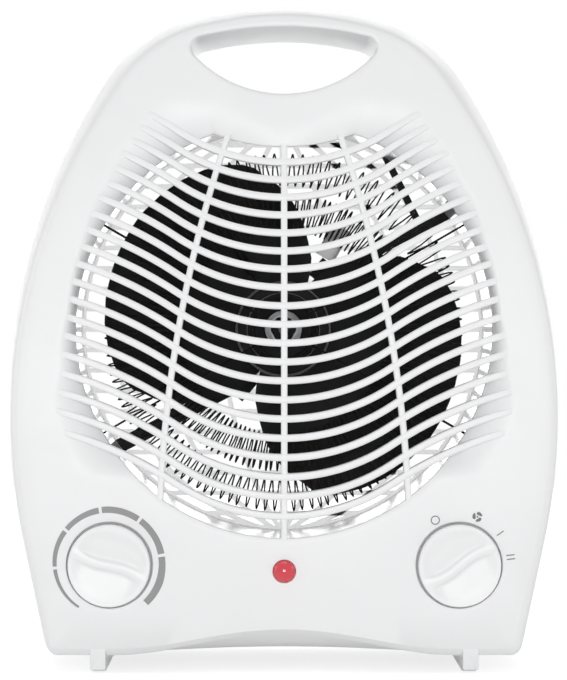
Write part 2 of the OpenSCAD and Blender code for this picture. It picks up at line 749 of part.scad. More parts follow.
// Snap contact strip and bimetal strip, riveted to the thermostat's end.
module thermostat_bimetal() {
    y = device_y + therm_t;
    color("goldenrod") {
        post(-knob_x, y, knob_z - therm_below + strip_w / 2, rivet_r, rivet_h);
        for (lift = [contact_lift, bimetal_lift]) at_depth(y + lift, strip_t) difference() {
            translate([-knob_x - strip_w / 2, knob_z - therm_below + strip_t])
                square([strip_w, therm_below + therm_above - 2 * strip_t]);
            translate([-knob_x, knob_z]) circle(r = spindle_r + strip_t);
        }
    }
}
switch_t = 18;
switch_r = 14;
terminal_ring = 9;
terminal_w = 4.8;
terminal_h = 8;
terminal_t = 0.8;
module switch_knob() { knob(knob_x, switch_angle); }
module switch_spindle() { spindle(knob_x, switch_t - 4); }
module switch_nut() { bush_nut(knob_x); }
module switch_body() {
    color("dimgray") difference() {
        union() {
            bush(knob_x, device_y + switch_t);
            post(knob_x, device_y, knob_z, switch_r, switch_t);
        }
        post(knob_x, device_y - 1, knob_z, spindle_r + running_gap, switch_t - 2.9);
    }
}
// Flat blade terminals on the back of the rotary switch.
module switch_terminals() {
    color("gold") for (a = [45:90:315])
        translate([knob_x + terminal_ring * cos(a) - terminal_w / 2, device_y + switch_t,
            knob_z + terminal_ring * sin(a) - terminal_t / 2]) cube([terminal_w, terminal_h, terminal_t]);
}

// ---- Indicator ----
module indicator_lens() {
    y = face_y(lens_z);
    color("red") {
        post(0, y, lens_z, lens_r - 0.02, plate_y + plate_t - y);
        translate([0, y, lens_z]) rotate([90, 0, 0]) rotate_extrude() intersection() {
            dome = (lens_r * lens_r + lens_proud * lens_proud) / 2 / lens_proud;
            translate([0, lens_proud - dome]) circle(r = dome, $fn = 96);
            square([lens_r - 0.02, lens_proud]);
        }
    }
}
module indicator_lamp() {
    color("orange") union() {
        post(0, plate_y + plate_t, lens_z, 2.6, 10);
        for (x = [-1, 1]) post(x, plate_y + plate_t + 10, lens_z, 0.4, 6);
    }
}

// ---- Fasteners ----
module casing_screws() {
    head_t = 2.4;
    color("silver") for (p = pillars) {
        post(p[0], parting_y - screw_bite, p[1], screw_r, screw_bite + screw_seat);
        difference() {
            post(p[0], parting_y + screw_seat, p[1], screw_head_r, head_t);
            for (a = [0, 90]) translate([p[0], parting_y + screw_seat + head_t, p[1]]) rotate([0, a, 0])
                cube([4, 2, 0.8], center = true);
        }
    }
}

// ---- Air duct and heating element ----
duct_front = mica_y - 2;
// The duct ends on the back grille's frame and follows the back face's curve.
duct_end = back_set_in + back_grille_t;
module air_duct() {
    color("whitesmoke") intersection() {
        at_depth(duct_front, back_y - duct_front) translate([0, axis_z]) difference() {
            circle(r = duct_r + duct_wall, $fn = 120);
            circle(r = duct_r, $fn = 120);
        }
        translate([-body_w, 0, 0]) rotate([90, 0, 90]) linear_extrude(2 * body_w) union() {
            translate([-body_d, 0]) square([body_d + back_y - duct_end, back_flat_z]);
            translate([back_y - back_set_in - back_r, back_flat_z])
                circle(r = back_r - back_grille_t, $fn = 360);
        }
    }
}

coil_y = mica_y + (mica_depth - coil_depth) / 2;
module coil_ring(r0, r1, y, t, grow = 0) {
    translate([0, y - grow, axis_z]) rotate([-90, 0, 0]) difference() {
        cylinder(r = r1 + grow, h = t + 2 * grow, $fn = 120);
        translate([0, 0, -1]) cylinder(r = r0 - grow, h = t + 2 * grow + 2, $fn = 120);
    }
}
module outer_coil() { color("silver") coil_ring(coil_out_r, coil_tip_r, coil_y, coil_depth); }
module inner_coil() { color("silver") coil_ring(coil_in_r, coil_mid_r, coil_y, coil_depth); }

// Thin boards on edge, notched for the coils, around a square tube at the axis.
mica_hub = 12;
// The boards' ends stay this far inside the duct.
arm_gap = 0.1;
module mica_boards() {
    color("wheat") difference() {
        union() {
            for (k = [0:mica_arms - 1]) translate([0, 0, axis_z]) rotate([0, 90 + k * 360 / mica_arms, 0])
                translate([mica_hub - 1, mica_y, -mica_t / 2])
                    cube([duct_r - arm_gap - mica_hub + 1, mica_depth, mica_t]);
            translate([0, mica_y, axis_z]) rotate([-90, 0, 0]) difference() {
                cylinder(r = mica_hub, h = mica_depth);
                translate([0, 0, -1]) cylinder(r = mica_hub - mica_t, h = mica_depth + 2);
            }
        }
        coil_ring(coil_out_r, coil_tip_r, coil_y, coil_depth, coil_gap);
        coil_ring(coil_in_r, coil_mid_r, coil_y, coil_depth, coil_gap);
    }
}

// Snap disc cut-out and fuse, held on the boards' rear edge.
safety_y = mica_y + mica_depth;
cutout_l = 14;
cutout_w = 8;
cutout_h = 6;
fuse_r = 1.5;
fuse_l = 12;
lead_r = 0.4;
lead_l = 4;
module thermal_cutout() {
    color("black") translate([0, 0, axis_z]) rotate([0, -60, 0])
        translate([coil_in_r - cutout_l / 2, safety_y, -cutout_w / 2]) cube([cutout_l, cutout_h, cutout_w]);
}
module thermal_fuse() {
    color("dimgray") translate([0, 0, axis_z]) rotate([0, -120, 0])
        translate([coil_in_r - fuse_l - 2, safety_y + fuse_r, 0]) rotate([0, 90, 0]) union() {
            cylinder(r = fuse_r, h = fuse_l);
            translate([0, 0, -lead_l]) cylinder(r = lead_r, h = fuse_l + 2 * lead_l);
        }
}

// ---- Motor ----
fan_clear = 3;
front_plate_y = fan_y + fan_depth + fan_clear;
core_y = front_plate_y + bracket_t + bracket_gap;
rear_plate_y = core_y + core_t + bracket_gap;
support_y = rear_plate_y + bracket_t;
support_t = 2;
bearing_r = 5;
bearing_t = 6;
front_bearing_y = front_plate_y - 1;
rear_bearing_y = support_y - bearing_t;
end_play = 0.5;
tie_inset = 4.5;
tie_x = core_w / 2 - tie_inset;
bracket_h = 16;
spacer_r = 3.4;

// Turns the motor's fixed parts about the axis, from upright to their own direction.
module at_motor_angle() {
    translate([0, 0, axis_z]) rotate([0, -motor_angle, 0]) translate([0, 0, -axis_z]) children();
}

// Punched plate that carries a bearing, bent to stand off the core.
module bearing_bracket(y, core_side) {
    color("silver") at_motor_angle() difference() {
        union() {
            at_depth(y, bracket_t) translate([0, axis_z]) offset(r = 3) offset(delta = -3)
                square([core_w, bracket_h], center = true);
            for (s = [-1, 1])
                post(s * tie_x, core_side < 0 ? y : y - bracket_gap, axis_z, spacer_r, bracket_gap + bracket_t);
        }
        post(0, y - 1, axis_z, bearing_r + slip_gap, bracket_t + 2);
        for (s = [-1, 1])
            post(s * tie_x, y - bracket_gap - 1, axis_z, screw_r + screw_gap, 2 * bracket_gap + 4);
    }
}
module motor_front_bracket() { bearing_bracket(front_plate_y, -1); }
module motor_rear_bracket() { bearing_bracket(rear_plate_y, 1); }
module motor_bearings() {
    color("peru") for (y = [front_bearing_y, rear_bearing_y])
        difference() {
            post(0, y, axis_z, bearing_r, bearing_t);
            post(0, y - 1, axis_z, shaft_r + running_gap, bearing_t + 2);
        }
}
// Laminated C core: the rotor sits in the upper part, the winding on the leg below.
leg_h = 11;
side_leg = 9;
web_h = 3;
winding_gap = 1;
winding_h = core_h / 2 - rotor_r - air_gap - web_h;
module motor_core() {
    color("gray") at_motor_angle() difference() {
        at_depth(core_y, core_t) translate([0, axis_z - winding_h / 2 - leg_h / 2]) difference() {
            square([core_w, core_h], center = true);
            translate([-core_w / 2 + side_leg, -core_h / 2 + leg_h]) square([core_w - 2 * side_leg, winding_h]);
        }
        post(0, core_y - 1, axis_z, rotor_r + air_gap, core_t + 2);
        for (s = [-1, 1]) post(s * tie_x, core_y - 1, axis_z, screw_r + screw_gap, core_t + 2);
    }
}
// Winding on the lower leg of the core.
module motor_winding() {
    leg_top = axis_z - winding_h / 2 - leg_h / 2 - core_h / 2 + leg_h;
    build = winding_h * 0.6;
    half_l = core_w / 2 - side_leg - winding_gap;
    color("firebrick") at_motor_angle() translate([-half_l, 0, 0]) rotate([90, 0, 90])
        linear_extrude(2 * half_l) difference() {
            translate([core_y - build, leg_top - leg_h - build])
                square([core_t + 2 * build, leg_h + 2 * build]);
            translate([core_y, leg_top - leg_h]) square([core_t, leg_h]);
        }
}
// A strut between two points of the support, w wide.
module strut(p, q, w) {
    translate(p) rotate(atan2(q[1] - p[1], q[0] - p[0])) translate([0, -w / 2]) square([norm(q - p), w]);
}
// The plate reaches past its end holes; one strut runs from each hole to the duct,
// and a narrow brace stands square on the upper one.
strut_root = 31;
plate_hole_r = 1.7;
brace_share = 0.78;
brace_w = 3;
brace_l = 42;
module motor_support() {
    root = polar(strut_root, motor_angle);
    rim = polar(duct_r + strut_w, support_angle);
    along = (polar(duct_r, support_angle) - root) * brace_share;
    foot = root + along;
    brace_end = foot + brace_l * [-along[1], along[0]] / norm(along);
    color([0.15, 0.15, 0.15]) difference() {
        at_depth(support_y, support_t) translate([0, axis_z]) intersection() {
            circle(r = duct_r - arm_gap, $fn = 120);
            union() {
                rotate(motor_angle) square([2 * strut_root + strut_w, support_w], center = true);
                for (a = [0, 180]) rotate(a) strut(root, rim, strut_w);
                strut(foot, brace_end, brace_w);
            }
        }
        post(0, support_y - 1, axis_z, bearing_r, support_t + 2);
        at_motor_angle() for (s = [-1, 1]) {
            post(s * tie_x, support_y - 1, axis_z, screw_r + screw_gap, support_t + 2);
            post(s * strut_root, support_y - 1, axis_z, plate_hole_r, support_t + 2);
        }
    }
}
module motor_screws() {
    color("silver") at_motor_angle() for (s = [-1, 1]) {
        post(s * tie_x, front_plate_y, axis_z, screw_r, support_y + support_t - front_plate_y);
        post(s * tie_x, front_plate_y - 1.6, axis_z, screw_r + 1.2, 1.6);
        translate([s * tie_x, support_y + support_t + 1.8, axis_z]) rotate([90, 0, 0])
            cylinder(r = screw_r + 1.4, h = 1.8, $fn = 6);
    }
}
module rotor() {
    color("lightgray") difference() {
        union() {
            post(0, core_y - 1, axis_z, rotor_r, core_t + 2);
            post(0, front_bearing_y + bearing_t + end_play, axis_z, shaft_r + 2,
                rear_bearing_y - front_bearing_y - bearing_t - 2 * end_play);
        }
        post(0, front_plate_y, axis_z, shaft_r + slip_gap, rear_plate_y - front_plate_y + 4);
    }
}
module motor_shaft() {
    color("silver") post(0, fan_y - 7, axis_z, shaft_r, rear_plate_y + bracket_t - fan_y + 8.5);
}

// ---- Fan ----
blade_n = 14;
tip_start = fan_r * 0.8;
// Half angle of a blade at radius r: it narrows outwards and has round tips.
function blade_edge(r) = let(t = max(0, (r - tip_start) / (fan_r - tip_start)))
    blade_half * lookup((r - hub_r) / (fan_r - hub_r), [[0, 1], [0.18, 0.94], [0.35, 0.84], [0.56, 0.745],
        [0.69, 0.67], [0.8, 0.6], [1, 0.6]]) * pow(1 - pow(min(t, 0.995), 2.6), 1 / 2.6);
// Blade point at radius r and share s of the sweep, on the back or front skin.
function blade_point(r, s, skin) = let(a = blade_edge(r) * (2 * s - 1),
    y = fan_y + 1 + (1 - skin) * blade_t + (fan_depth - blade_t - 2) * s)
    [r * cos(a), y, r * sin(a)];
module blade() {
    root = hub_r - 1.5;
    radii = [for (t = [0, 0.15, 0.3, 0.45, 0.6, 0.73, 0.83, 0.9, 0.95, 0.985, 1]) root + (fan_r - root) * t];
    cells = len(radii);
    points = [for (skin = [0, 1], r = radii, k = [0:blade_n]) blade_point(r, k / blade_n, skin)];
    row = blade_n + 1;
    back = cells * row;
    faces = concat(
        [for (i = [0:cells - 2], k = [0:blade_n - 1]) let(a = i * row + k)
            each [[a, a + row, a + row + 1], [a, a + row + 1, a + 1]]],
        [for (i = [0:cells - 2], k = [0:blade_n - 1]) let(a = back + i * row + k)
            each [[a, a + row + 1, a + row], [a, a + 1, a + row + 1]]],
        [for (i = [0:cells - 2], k = [0, blade_n])
            let(a = i * row + k, b = a + row, c = b + back, d = a + back)
            each k == 0 ? [[a, c, b], [a, d, c]] : [[a, b, c], [a, c, d]]],
        [for (k = [0:blade_n - 1], i = [0, cells - 1])
            let(a = i * row + k, b = a + 1, c = b + back, d = a + back)
            each i == 0 ? [[a, b, c], [a, c, d]] : [[a, c, b], [a, d, c]]]);
    polyhedron(points, faces, convexity = 6);
}
module fan() {
    color([0.13, 0.13, 0.13]) difference() {
        union() {
            post(0, fan_y, axis_z, hub_r, fan_depth);
            for (a = [0, 180]) translate([0, 0, axis_z]) rotate([0, a - fan_angle, 0]) blade();
        }
        post(0, fan_y + 3, axis_z, hub_r - 2, fan_depth);
        post(0, fan_y - 1, axis_z, shaft_r + slip_gap, fan_depth + 2);
    }
}
module fan_nut() {
    color("silver") difference() {
        union() {
            post(0, fan_y - 4, axis_z, 7.5, 4);
            translate([0, fan_y - 4, axis_z]) rotate([90, 0, 0]) cylinder(r1 = 7.5, r2 = 4.5, h = 3);
        }
        post(0, fan_y - 8, axis_z, shaft_r + slip_gap, 9);
    }
}

front_casing();
rear_casing();
front_grille();
rear_grille();
foot_left();
foot_right();
indicator_lens();
indicator_lamp();
casing_screws();
control_plate();
thermostat_knob();
thermostat_spindle();
thermostat_body();
thermostat_nut();
thermostat_bimetal();
switch_knob();
switch_spindle();
switch_body();
switch_nut();
switch_terminals();
air_duct();
mica_boards();
outer_coil();
inner_coil();
thermal_cutout();
thermal_fuse();
motor_support();
motor_core();
motor_winding();
motor_front_bracket();
motor_rear_bracket();
motor_bearings();
motor_screws();
rotor();
motor_shaft();
fan();
fan_nut();
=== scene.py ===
import math

import bmesh
import bpy
from mathutils import Matrix, Vector


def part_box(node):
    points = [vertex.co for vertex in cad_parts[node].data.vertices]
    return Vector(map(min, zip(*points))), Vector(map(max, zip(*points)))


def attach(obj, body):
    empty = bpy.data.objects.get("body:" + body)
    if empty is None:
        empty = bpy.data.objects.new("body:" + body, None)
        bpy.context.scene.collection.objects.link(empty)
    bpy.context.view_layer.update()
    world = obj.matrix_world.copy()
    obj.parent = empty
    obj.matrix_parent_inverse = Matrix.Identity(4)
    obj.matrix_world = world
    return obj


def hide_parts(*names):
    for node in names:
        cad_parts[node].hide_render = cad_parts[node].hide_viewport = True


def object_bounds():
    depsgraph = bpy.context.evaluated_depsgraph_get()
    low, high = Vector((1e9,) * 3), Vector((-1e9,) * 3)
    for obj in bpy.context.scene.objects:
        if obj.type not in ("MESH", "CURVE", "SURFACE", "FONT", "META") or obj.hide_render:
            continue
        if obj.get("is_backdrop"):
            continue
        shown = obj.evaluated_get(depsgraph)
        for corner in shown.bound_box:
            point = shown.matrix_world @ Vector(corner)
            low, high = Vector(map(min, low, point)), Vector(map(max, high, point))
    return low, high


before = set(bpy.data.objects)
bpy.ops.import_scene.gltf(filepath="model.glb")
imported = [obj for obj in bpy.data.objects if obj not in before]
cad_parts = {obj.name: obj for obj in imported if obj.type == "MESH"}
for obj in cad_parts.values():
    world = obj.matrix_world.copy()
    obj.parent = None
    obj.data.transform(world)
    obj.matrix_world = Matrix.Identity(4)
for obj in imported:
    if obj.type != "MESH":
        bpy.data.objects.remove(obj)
cad_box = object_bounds()


# ---- Camera, sweep and lamps ----
# A long lens looks straight at the front from the height of the fan. The heater
# stands on a pale floor in a white light tent, with a soft lamp on every side.
camera = bpy.data.objects.new("camera", bpy.data.cameras.new("camera"))
bpy.context.scene.collection.objects.link(camera)
camera.location = (-0.009, -1.283, 0.1296)
camera.rotation_euler = (math.radians(90), 0, 0)
camera.data.sensor_fit = "AUTO"
camera.data.sensor_width = 36
camera.data.lens = 168.1
camera.data.shift_x = 0.033
bpy.context.scene.camera = camera
bpy.context.scene.view_settings.view_transform = "Standard"


def add_node(tree, kind, sockets=(), **settings):
    """A shader node of one kind; each socket is given a constant or the output that feeds it."""
    made = tree.nodes.new("ShaderNode" + kind)
    for setting, value in settings.items():
        setattr(made, setting, value)
    for socket, value in dict(sockets).items():
        if isinstance(value, bpy.types.NodeSocket):
            tree.links.new(value, made.inputs[socket])
        else:
            made.inputs[socket].default_value = value
    return made


def see_white(tree):
    """1 where a ray comes straight from the eye, off a shiny surface or through glass."""
    path = add_node(tree, "LightPath").outputs
    seen = add_node(tree, "Math", {0: path["Is Camera Ray"], 1: path["Is Glossy Ray"]}, operation="ADD")
    every = add_node(tree, "Math", {0: seen.outputs[0], 1: path["Is Transmission Ray"]},
                     operation="ADD", use_clamp=True)
    return every.outputs[0]


tent = bpy.data.worlds.new("light_tent")
bpy.context.scene.world = tent
tent.use_nodes = True
tree = tent.node_tree
tree.nodes.clear()
fill = add_node(tree, "Background", {"Color": (1, 1, 1, 1), "Strength": 0.53})
backdrop = add_node(tree, "Background", {"Color": (1, 1, 1, 1), "Strength": 1.0})
either = add_node(tree, "MixShader", {0: see_white(tree), 1: fill.outputs[0], 2: backdrop.outputs[0]})
add_node(tree, "OutputWorld", {"Surface": either.outputs[0]})


def soft_lamp(name, place, aim, size, power):
    lamp = bpy.data.objects.new(name, bpy.data.lights.new(name, "AREA"))
    bpy.context.scene.collection.objects.link(lamp)
    lamp.data.shape = "RECTANGLE"
    lamp.data.size, lamp.data.size_y = size
    lamp.data.energy = power
    lamp.visible_camera = False
    lamp.location = place
    lamp.rotation_euler = (Vector(aim) - Vector(place)).to_track_quat("-Z", "Y").to_euler()


soft_lamp("lamp_front", (0, -1.5, 0.16), (0, 0, 0.13), (0.55, 0.55), 8.5)
soft_lamp("lamp_back", (0, 1.5, 0.3), (0, 0, 0.16), (1.1, 1.2), 7.5)
soft_lamp("lamp_left", (-1.5, 0.1, 0.45), (0, 0, 0.12), (1.0, 1.0), 3.6)
soft_lamp("lamp_right", (1.5, 0.1, 0.45), (0, 0, 0.12), (1.0, 1.0), 2.4)
soft_lamp("lamp_top", (0, -0.25, 1.8), (0, 0, 0.12), (1.2, 1.0), 2.4)

bpy.ops.object.select_all(action="DESELECT")
bpy.ops.mesh.primitive_grid_add(x_subdivisions=24, y_subdivisions=24, size=3, location=(0, 0, 0))
floor = bpy.context.object
floor.name = "floor"
bpy.ops.object.transform_apply(location=True, rotation=True, scale=True)
paper = bpy.data.materials.new("floor_paper")
paper.use_nodes = True
tree = paper.node_tree
tree.nodes.clear()
matt = add_node(tree, "BsdfDiffuse", {"Color": (0.93, 0.93, 0.93, 1)})
seen_matt = add_node(tree, "BsdfDiffuse", {"Color": (0.45, 0.45, 0.45, 1)})
glow = add_node(tree, "Emission", {"Color": (1, 1, 1, 1), "Strength": 0.76})
lit = add_node(tree, "AddShader", {0: seen_matt.outputs[0], 1: glow.outputs[0]})
either = add_node(tree, "MixShader", {0: see_white(tree), 1: matt.outputs[0], 2: lit.outputs[0]})
add_node(tree, "OutputMaterial", {"Surface": either.outputs[0]})
floor.data.materials.append(paper)
floor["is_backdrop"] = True


# ---- Front shell ----
# The front half of the casing: one satin white ABS moulding with a leaning face, a
# dished zone round the air opening, the handle's front and two wells for the knobs.
body_w, body_h, body_d, bottom_w = 219, 262, 116, 191
waist_z, waist_h, low_bend_h, shoulder_r, crown_r, crown_half = 98, 6, 48.4, 55.5, 150, 15
corner_r, wall, foot_h, parting_y = 4, 2.2, 7, -8
bow_z, bow_r = 75, 820
knob_r, knob_x, knob_z, disc_proud, ridge_h = 15.9, 67.8, 42.3, 2.5, 3.2
front_face_y = -body_d / 2 + disc_proud + ridge_h - bow_r + math.sqrt(bow_r**2 - (knob_z - bow_z) ** 2)
axis_z, opening_r = 134, 81.3
grip_h, grip_hole_h, grip_hole_r, grip_corner_r = 9, 26.8, 48, 4.5
lens_r, lens_z = 4.4, 39.9


def face_y(z):
    """Depth of the front face at height z, in millimetres as all sizes here."""
    return front_face_y + bow_r - math.sqrt(bow_r**2 - (z - bow_z) ** 2)


def polar(r, a):
    return Vector((r * math.cos(math.radians(a)), r * math.sin(math.radians(a))))


def between(table, a, ease=False):
    """Value at a in a table of (place, value) pairs, straight or eased between them."""
    if a <= table[0][0]:
        return table[0][1]
    for (a0, v0), (a1, v1) in zip(table, table[1:]):
        if a <= a1:
            t = (a - a0) / (a1 - a0)
            return v0 + (v1 - v0) * (t * t * (3 - 2 * t) if ease else t)
    return table[-1][1]


crown_a = 90 - crown_half
crown_z = body_h - crown_r
shoulder = Vector((0, crown_z)) + polar(crown_r - shoulder_r, crown_a)
reach = Vector((body_w / 2 - shoulder.x, shoulder.y - waist_z - waist_h))
high_side_r = (reach.length_squared - shoulder_r**2) / 2 / (reach.x - shoulder_r)
high_a = math.degrees(math.atan2(reach.y, high_side_r - reach.x))
half_turn = 0.1
for _ in range(8):
    straight_h = 2 * (waist_z - foot_h - low_bend_h) / (1 - half_turn**2)
    half_turn = (body_w - bottom_w) / 2 / (straight_h + low_bend_h)
low_a = -2 * math.degrees(math.atan(half_turn))
low_side_r = low_bend_h / math.sin(math.radians(-low_a))
low_c = Vector((body_w / 2 - low_side_r, waist_z))
high_c = Vector((body_w / 2 - high_side_r, waist_z + waist_h))
front_round, front_round_depth, lip_half_w, lip_chamfer, lip_run, ring_spread = 3, 2.4, 66, 2.9, 0.19, 1.35


def outline(share, even, draft, lip=0.0):
    """The casing's outline, drawn in by its draft's share and an even inset.

    In the middle of the lower edge the face ends higher, above a slanting lip."""
    low, side, corner, crown = draft

    def inset(a):
        return even + share * between(
            [(-90, 0), (low_a, low), (0, side), (high_a, corner),
             (crown_a, corner * 0.35 + crown * 0.65), (90, crown)], a)

    rounded = min(even, front_round)
    curl = math.sqrt(rounded * (2 * front_round - rounded)) / front_round
    chamfer = lip_chamfer * curl**1.3
    base_z = foot_h + (chamfer + max(0, even - front_round) if lip else even)
    r = max(corner_r - even / 2, 1.5)
    n = polar(1, low_a)
    foot_of_side = low_c + (low_side_r - inset(low_a)) * n
    corner_c = Vector((0, base_z + r))
    corner_c.x = (foot_of_side.dot(n) - r - n.y * corner_c.y) / n.x
    half = []
    for k in range(20):
        x = corner_c.x * k / 20
        middle = max(0, 1 - (x / lip_half_w) ** 2) if lip else 0
        behind = (1 - share) ** ring_spread
        steep = max(0, 1 - behind / lip_run)
        rise = lip * (0.4 * (1 - behind) + 0.6 * steep) * middle ** (1.2 + steep)
        half.append(Vector((x, base_z + rise + (2 * curl - chamfer) * middle)))
    half += [corner_c + polar(r, -90 + k / 6 * (low_a + 90)) for k in range(7)]
    half += [(corner_c + r * n).lerp(foot_of_side, k / 8) for k in range(1, 8)]
    for centre, arc_r, start, stop, steps, last in (
            (low_c, low_side_r, low_a, 0, 12, 1), (high_c, high_side_r, 0, high_a, 32, 0),
            (shoulder, shoulder_r, high_a, crown_a, 30, 0),
            (Vector((0, crown_z)), crown_r, crown_a, 90, 16, 1)):
        turns = [start + (stop - start) * k / steps for k in range(steps + last)]
        half += [centre + polar(arc_r - inset(a), a) for a in turns]
    half[-1].x = 0
    return half + [Vector((-p.x, p.y)) for p in half[-2:0:-1]]


bar_sag_r = 76
opening_top_z = 205.26


def heading(p):
    return math.degrees(math.atan2(p[1] - axis_z, p[0]))


def mirrored(a):
    return 180 - a if a > 90 else -180 - a if a < -90 else a


def opening_edge(a, grow=0.0):
    """Edge of the air opening: a circle whose top is cut by an arc that sags like the bars."""
    p = Vector((0, axis_z)) + polar(opening_r + grow, a)
    r = bar_sag_r
    if abs(p.x) < r:
        p.y = min(p.y, opening_top_z + grow + r - math.sqrt(r * r - p.x**2))
    return p


def dish_reach(a):
    """Distance from the fan's axis at which the dished zone runs out."""
    return opening_r + between(
        [(-90, 2.5), (-45, 3), (-34, 17), (-20, 15), (-8, 7), (6, 3.5), (20, 4.5), (38, 10), (50, 16),
         (60, 22), (72, 16), (90, 8)], mirrored(a), True)


def dish_depth(a):
    """How deep the dished zone is at the opening's edge."""
    return between([(-90, 0.4), (-45, 0.6), (-34, 6), (60, 6), (75, 3), (90, 1)], mirrored(a), True)


def sealed(piece):
    """Turn every face outwards and leave edit mode."""
    bpy.ops.mesh.select_all(action="SELECT")
    bpy.ops.mesh.normals_make_consistent(inside=False)
    bpy.ops.object.mode_set(mode="OBJECT")
    return piece


def stack(name, sections, fill="NGON"):
    """Solid from a stack of rings along its length, closed at both ends by a face."""
    bpy.ops.object.select_all(action="DESELECT")
    bpy.ops.mesh.primitive_circle_add(vertices=len(sections[0]), radius=0.1, fill_type=fill)
    solid = bpy.context.object
    solid.name = solid.data.name = name
    bpy.ops.object.mode_set(mode="EDIT")
    if fill == "NOTHING":
        bpy.ops.mesh.select_mode(type="EDGE")
    bm = bmesh.from_edit_mesh(solid.data)
    order = bm.verts.layers.int.new("order")
    for k, v in enumerate(bm.verts):
        v[order] = k
        v.co = Vector(sections[0][k]) / 1000
    bmesh.update_edit_mesh(solid.data)
    for ring in sections[1:]:
        bpy.ops.mesh.extrude_region_move()
        bm = bmesh.from_edit_mesh(solid.data)
        order = bm.verts.layers.int["order"]
        for v in bm.verts:
            if v.select:
                v.co = Vector(ring[v[order]]) / 1000
        bmesh.update_edit_mesh(solid.data)
    if fill == "NOTHING":
        bpy.ops.mesh.select_all(action="SELECT")
        bpy.ops.mesh.remove_doubles(threshold=1e-6)
    return sealed(solid)


def loft(name, rings):
    """Closed skin without end faces: the stack of rings comes round to the first again."""
    return stack(name, rings + rings[:1], "NOTHING")


def cut(piece, cutter, how="DIFFERENCE", crossed=False):
    """Cut or join with another solid, which is used up; crossed if the piece's own parts overlap."""
    bpy.context.view_layer.objects.active = piece
    tool = piece.modifiers.new("cut", "BOOLEAN")
    tool.operation = how
    tool.solver = "EXACT"
    tool.use_self = crossed
    tool.object = cutter
    bpy.ops.object.modifier_apply(modifier=tool.name)
    bpy.data.objects.remove(cutter, do_unlink=True)


def smooth(piece, angle=35):
    """Shade smooth except over edges sharper than the angle."""
    bpy.ops.object.select_all(action="DESELECT")
    piece.select_set(True)
    bpy.context.view_layer.objects.active = piece
    bpy.ops.object.shade_smooth_by_angle(angle=math.radians(angle))


def flared(edge, face, inner_y, lip, way=1):
    """Cutter that opens out into a rounded lip at a face; way is 1 at the front and -1 at the back.

    edge(grow) gives its outline as (x, z) points and face(z) the depth of the face there."""
    rings = [[(p[0], -90 * way, p[1]) for p in edge(lip)]]
    for a in (0, 20, 40, 60, 75, 90):
        grow, sink = lip * (1 - math.sin(math.radians(a))), lip * (1 - math.cos(math.radians(a)))
        rings.append([(p[0], face(p[1]) + way * sink, p[1]) for p in edge(grow)])
    rings.append([(p[0], inner_y, p[1]) for p in edge(0)])
    return stack("cutter", rings[::way])


def grip_edge(grow):
    """Outline of the finger opening: a crown arc above, a deeper arc below, round corners."""
    top, low = Vector((0, crown_z)), Vector((0, body_h - grip_h - grip_hole_h + grip_hole_r))
    top_r, low_r, r = crown_r - grip_h, grip_hole_r, grip_corner_r
    gap = low.y - top.y
    corner_y = ((top_r - r) ** 2 - (low_r - r) ** 2 + gap**2) / 2 / gap
    corner = Vector((math.sqrt((top_r - r) ** 2 - corner_y**2), top.y + corner_y))
    a_top = math.degrees(math.atan2(corner.y - top.y, corner.x))
    a_low = math.degrees(math.atan2(corner.y - low.y, corner.x))
    points = [top + polar(top_r + grow, a_top + (180 - 2 * a_top) * k / 28) for k in range(28)]
    left = Vector((-corner.x, corner.y))
    points += [left + polar(r + grow, 180 - a_top + (a_top - a_low) * k / 10) for k in range(10)]
    points += [low + polar(low_r + grow, 180 - a_low + (180 + 2 * a_low) * k / 40) for k in range(40)]
    points += [corner + polar(r + grow, a_low + (a_top - a_low) * k / 10) for k in range(10)]
    return points


def round_edge(x, z, r):
    return lambda grow: [Vector((x, z)) + polar(r + grow, 360 * k / 72) for k in range(72)]


front_draft, lip_rise = (4.2, 3.5, 7, 3.8), 8.3
cavity_top = body_h - grip_h - grip_hole_h - wall


def under(p):
    """Keeps the inner skin below the floor of the handle."""
    return Vector((p[0], min(p[1], cavity_top + 0.001 * p[1])))


def laid(points, surface, sink=0.0):
    """Ring of (x, z) points laid on a surface and sunk below it."""
    return [(q.x, surface(q.y) + sink, q.y) for q in points]


rings = []
for share in (0, 0.25, 0.5, 0.7, 0.82, 0.9, 0.95):
    back = (1 - share) ** ring_spread
    rings.append([(p.x, parting_y * back + (face_y(p.y) + front_round_depth) * (1 - back), p.y)
                  for p in outline(share, 0, front_draft, lip_rise)])
for a in (0, 22, 45, 68, 90):
    turn = math.radians(a)
    rings.append(laid(outline(1, front_round * (1 - math.cos(turn)), front_draft, lip_rise), face_y,
                      front_round_depth * (1 - math.sin(turn))))
face = outline(1, front_round, front_draft, lip_rise)
headings = [heading(p) for p in face]
dished = [opening_edge(a, dish_reach(a) - opening_r) for a in headings]
opening = [opening_edge(a, 0.3) for a in headings]
for share in (0.25, 0.5, 0.75, 0.9, 1):
    rings.append(laid((p.lerp(d, share) for p, d in zip(face, dished)), face_y))
for share in (0.12, 0.25, 0.4, 0.55, 0.7, 0.85, 0.95):
    rings.append([(q.x, face_y(q.y) + dish_depth(a) * share**2, q.y)
                  for q, a in ((d.lerp(o, share), a) for d, o, a in zip(dished, opening, headings))])
for grow, sink in ((0.3, 0), (0.12, 0.12), (0, 0.4), (0, wall)):
    rings.append([(q.x, face_y(q.y) + dish_depth(a) + sink, q.y)
                  for q, a in ((opening_edge(a, grow), a) for a in headings)])
rings.append([(q.x, face_y(q.y) + dish_depth(a) + wall, q.y) for q, a in zip(map(under, dished), headings)])
rings.append(laid(map(under, outline(1, wall + 1, front_draft, lip_rise)), face_y, wall + 1))
rings.append([(q.x, parting_y, q.y) for q in map(under, outline(0, wall, front_draft))])
front_shell = loft("front_shell", rings)
cut(front_shell, flared(grip_edge, face_y, 20, 1.6))


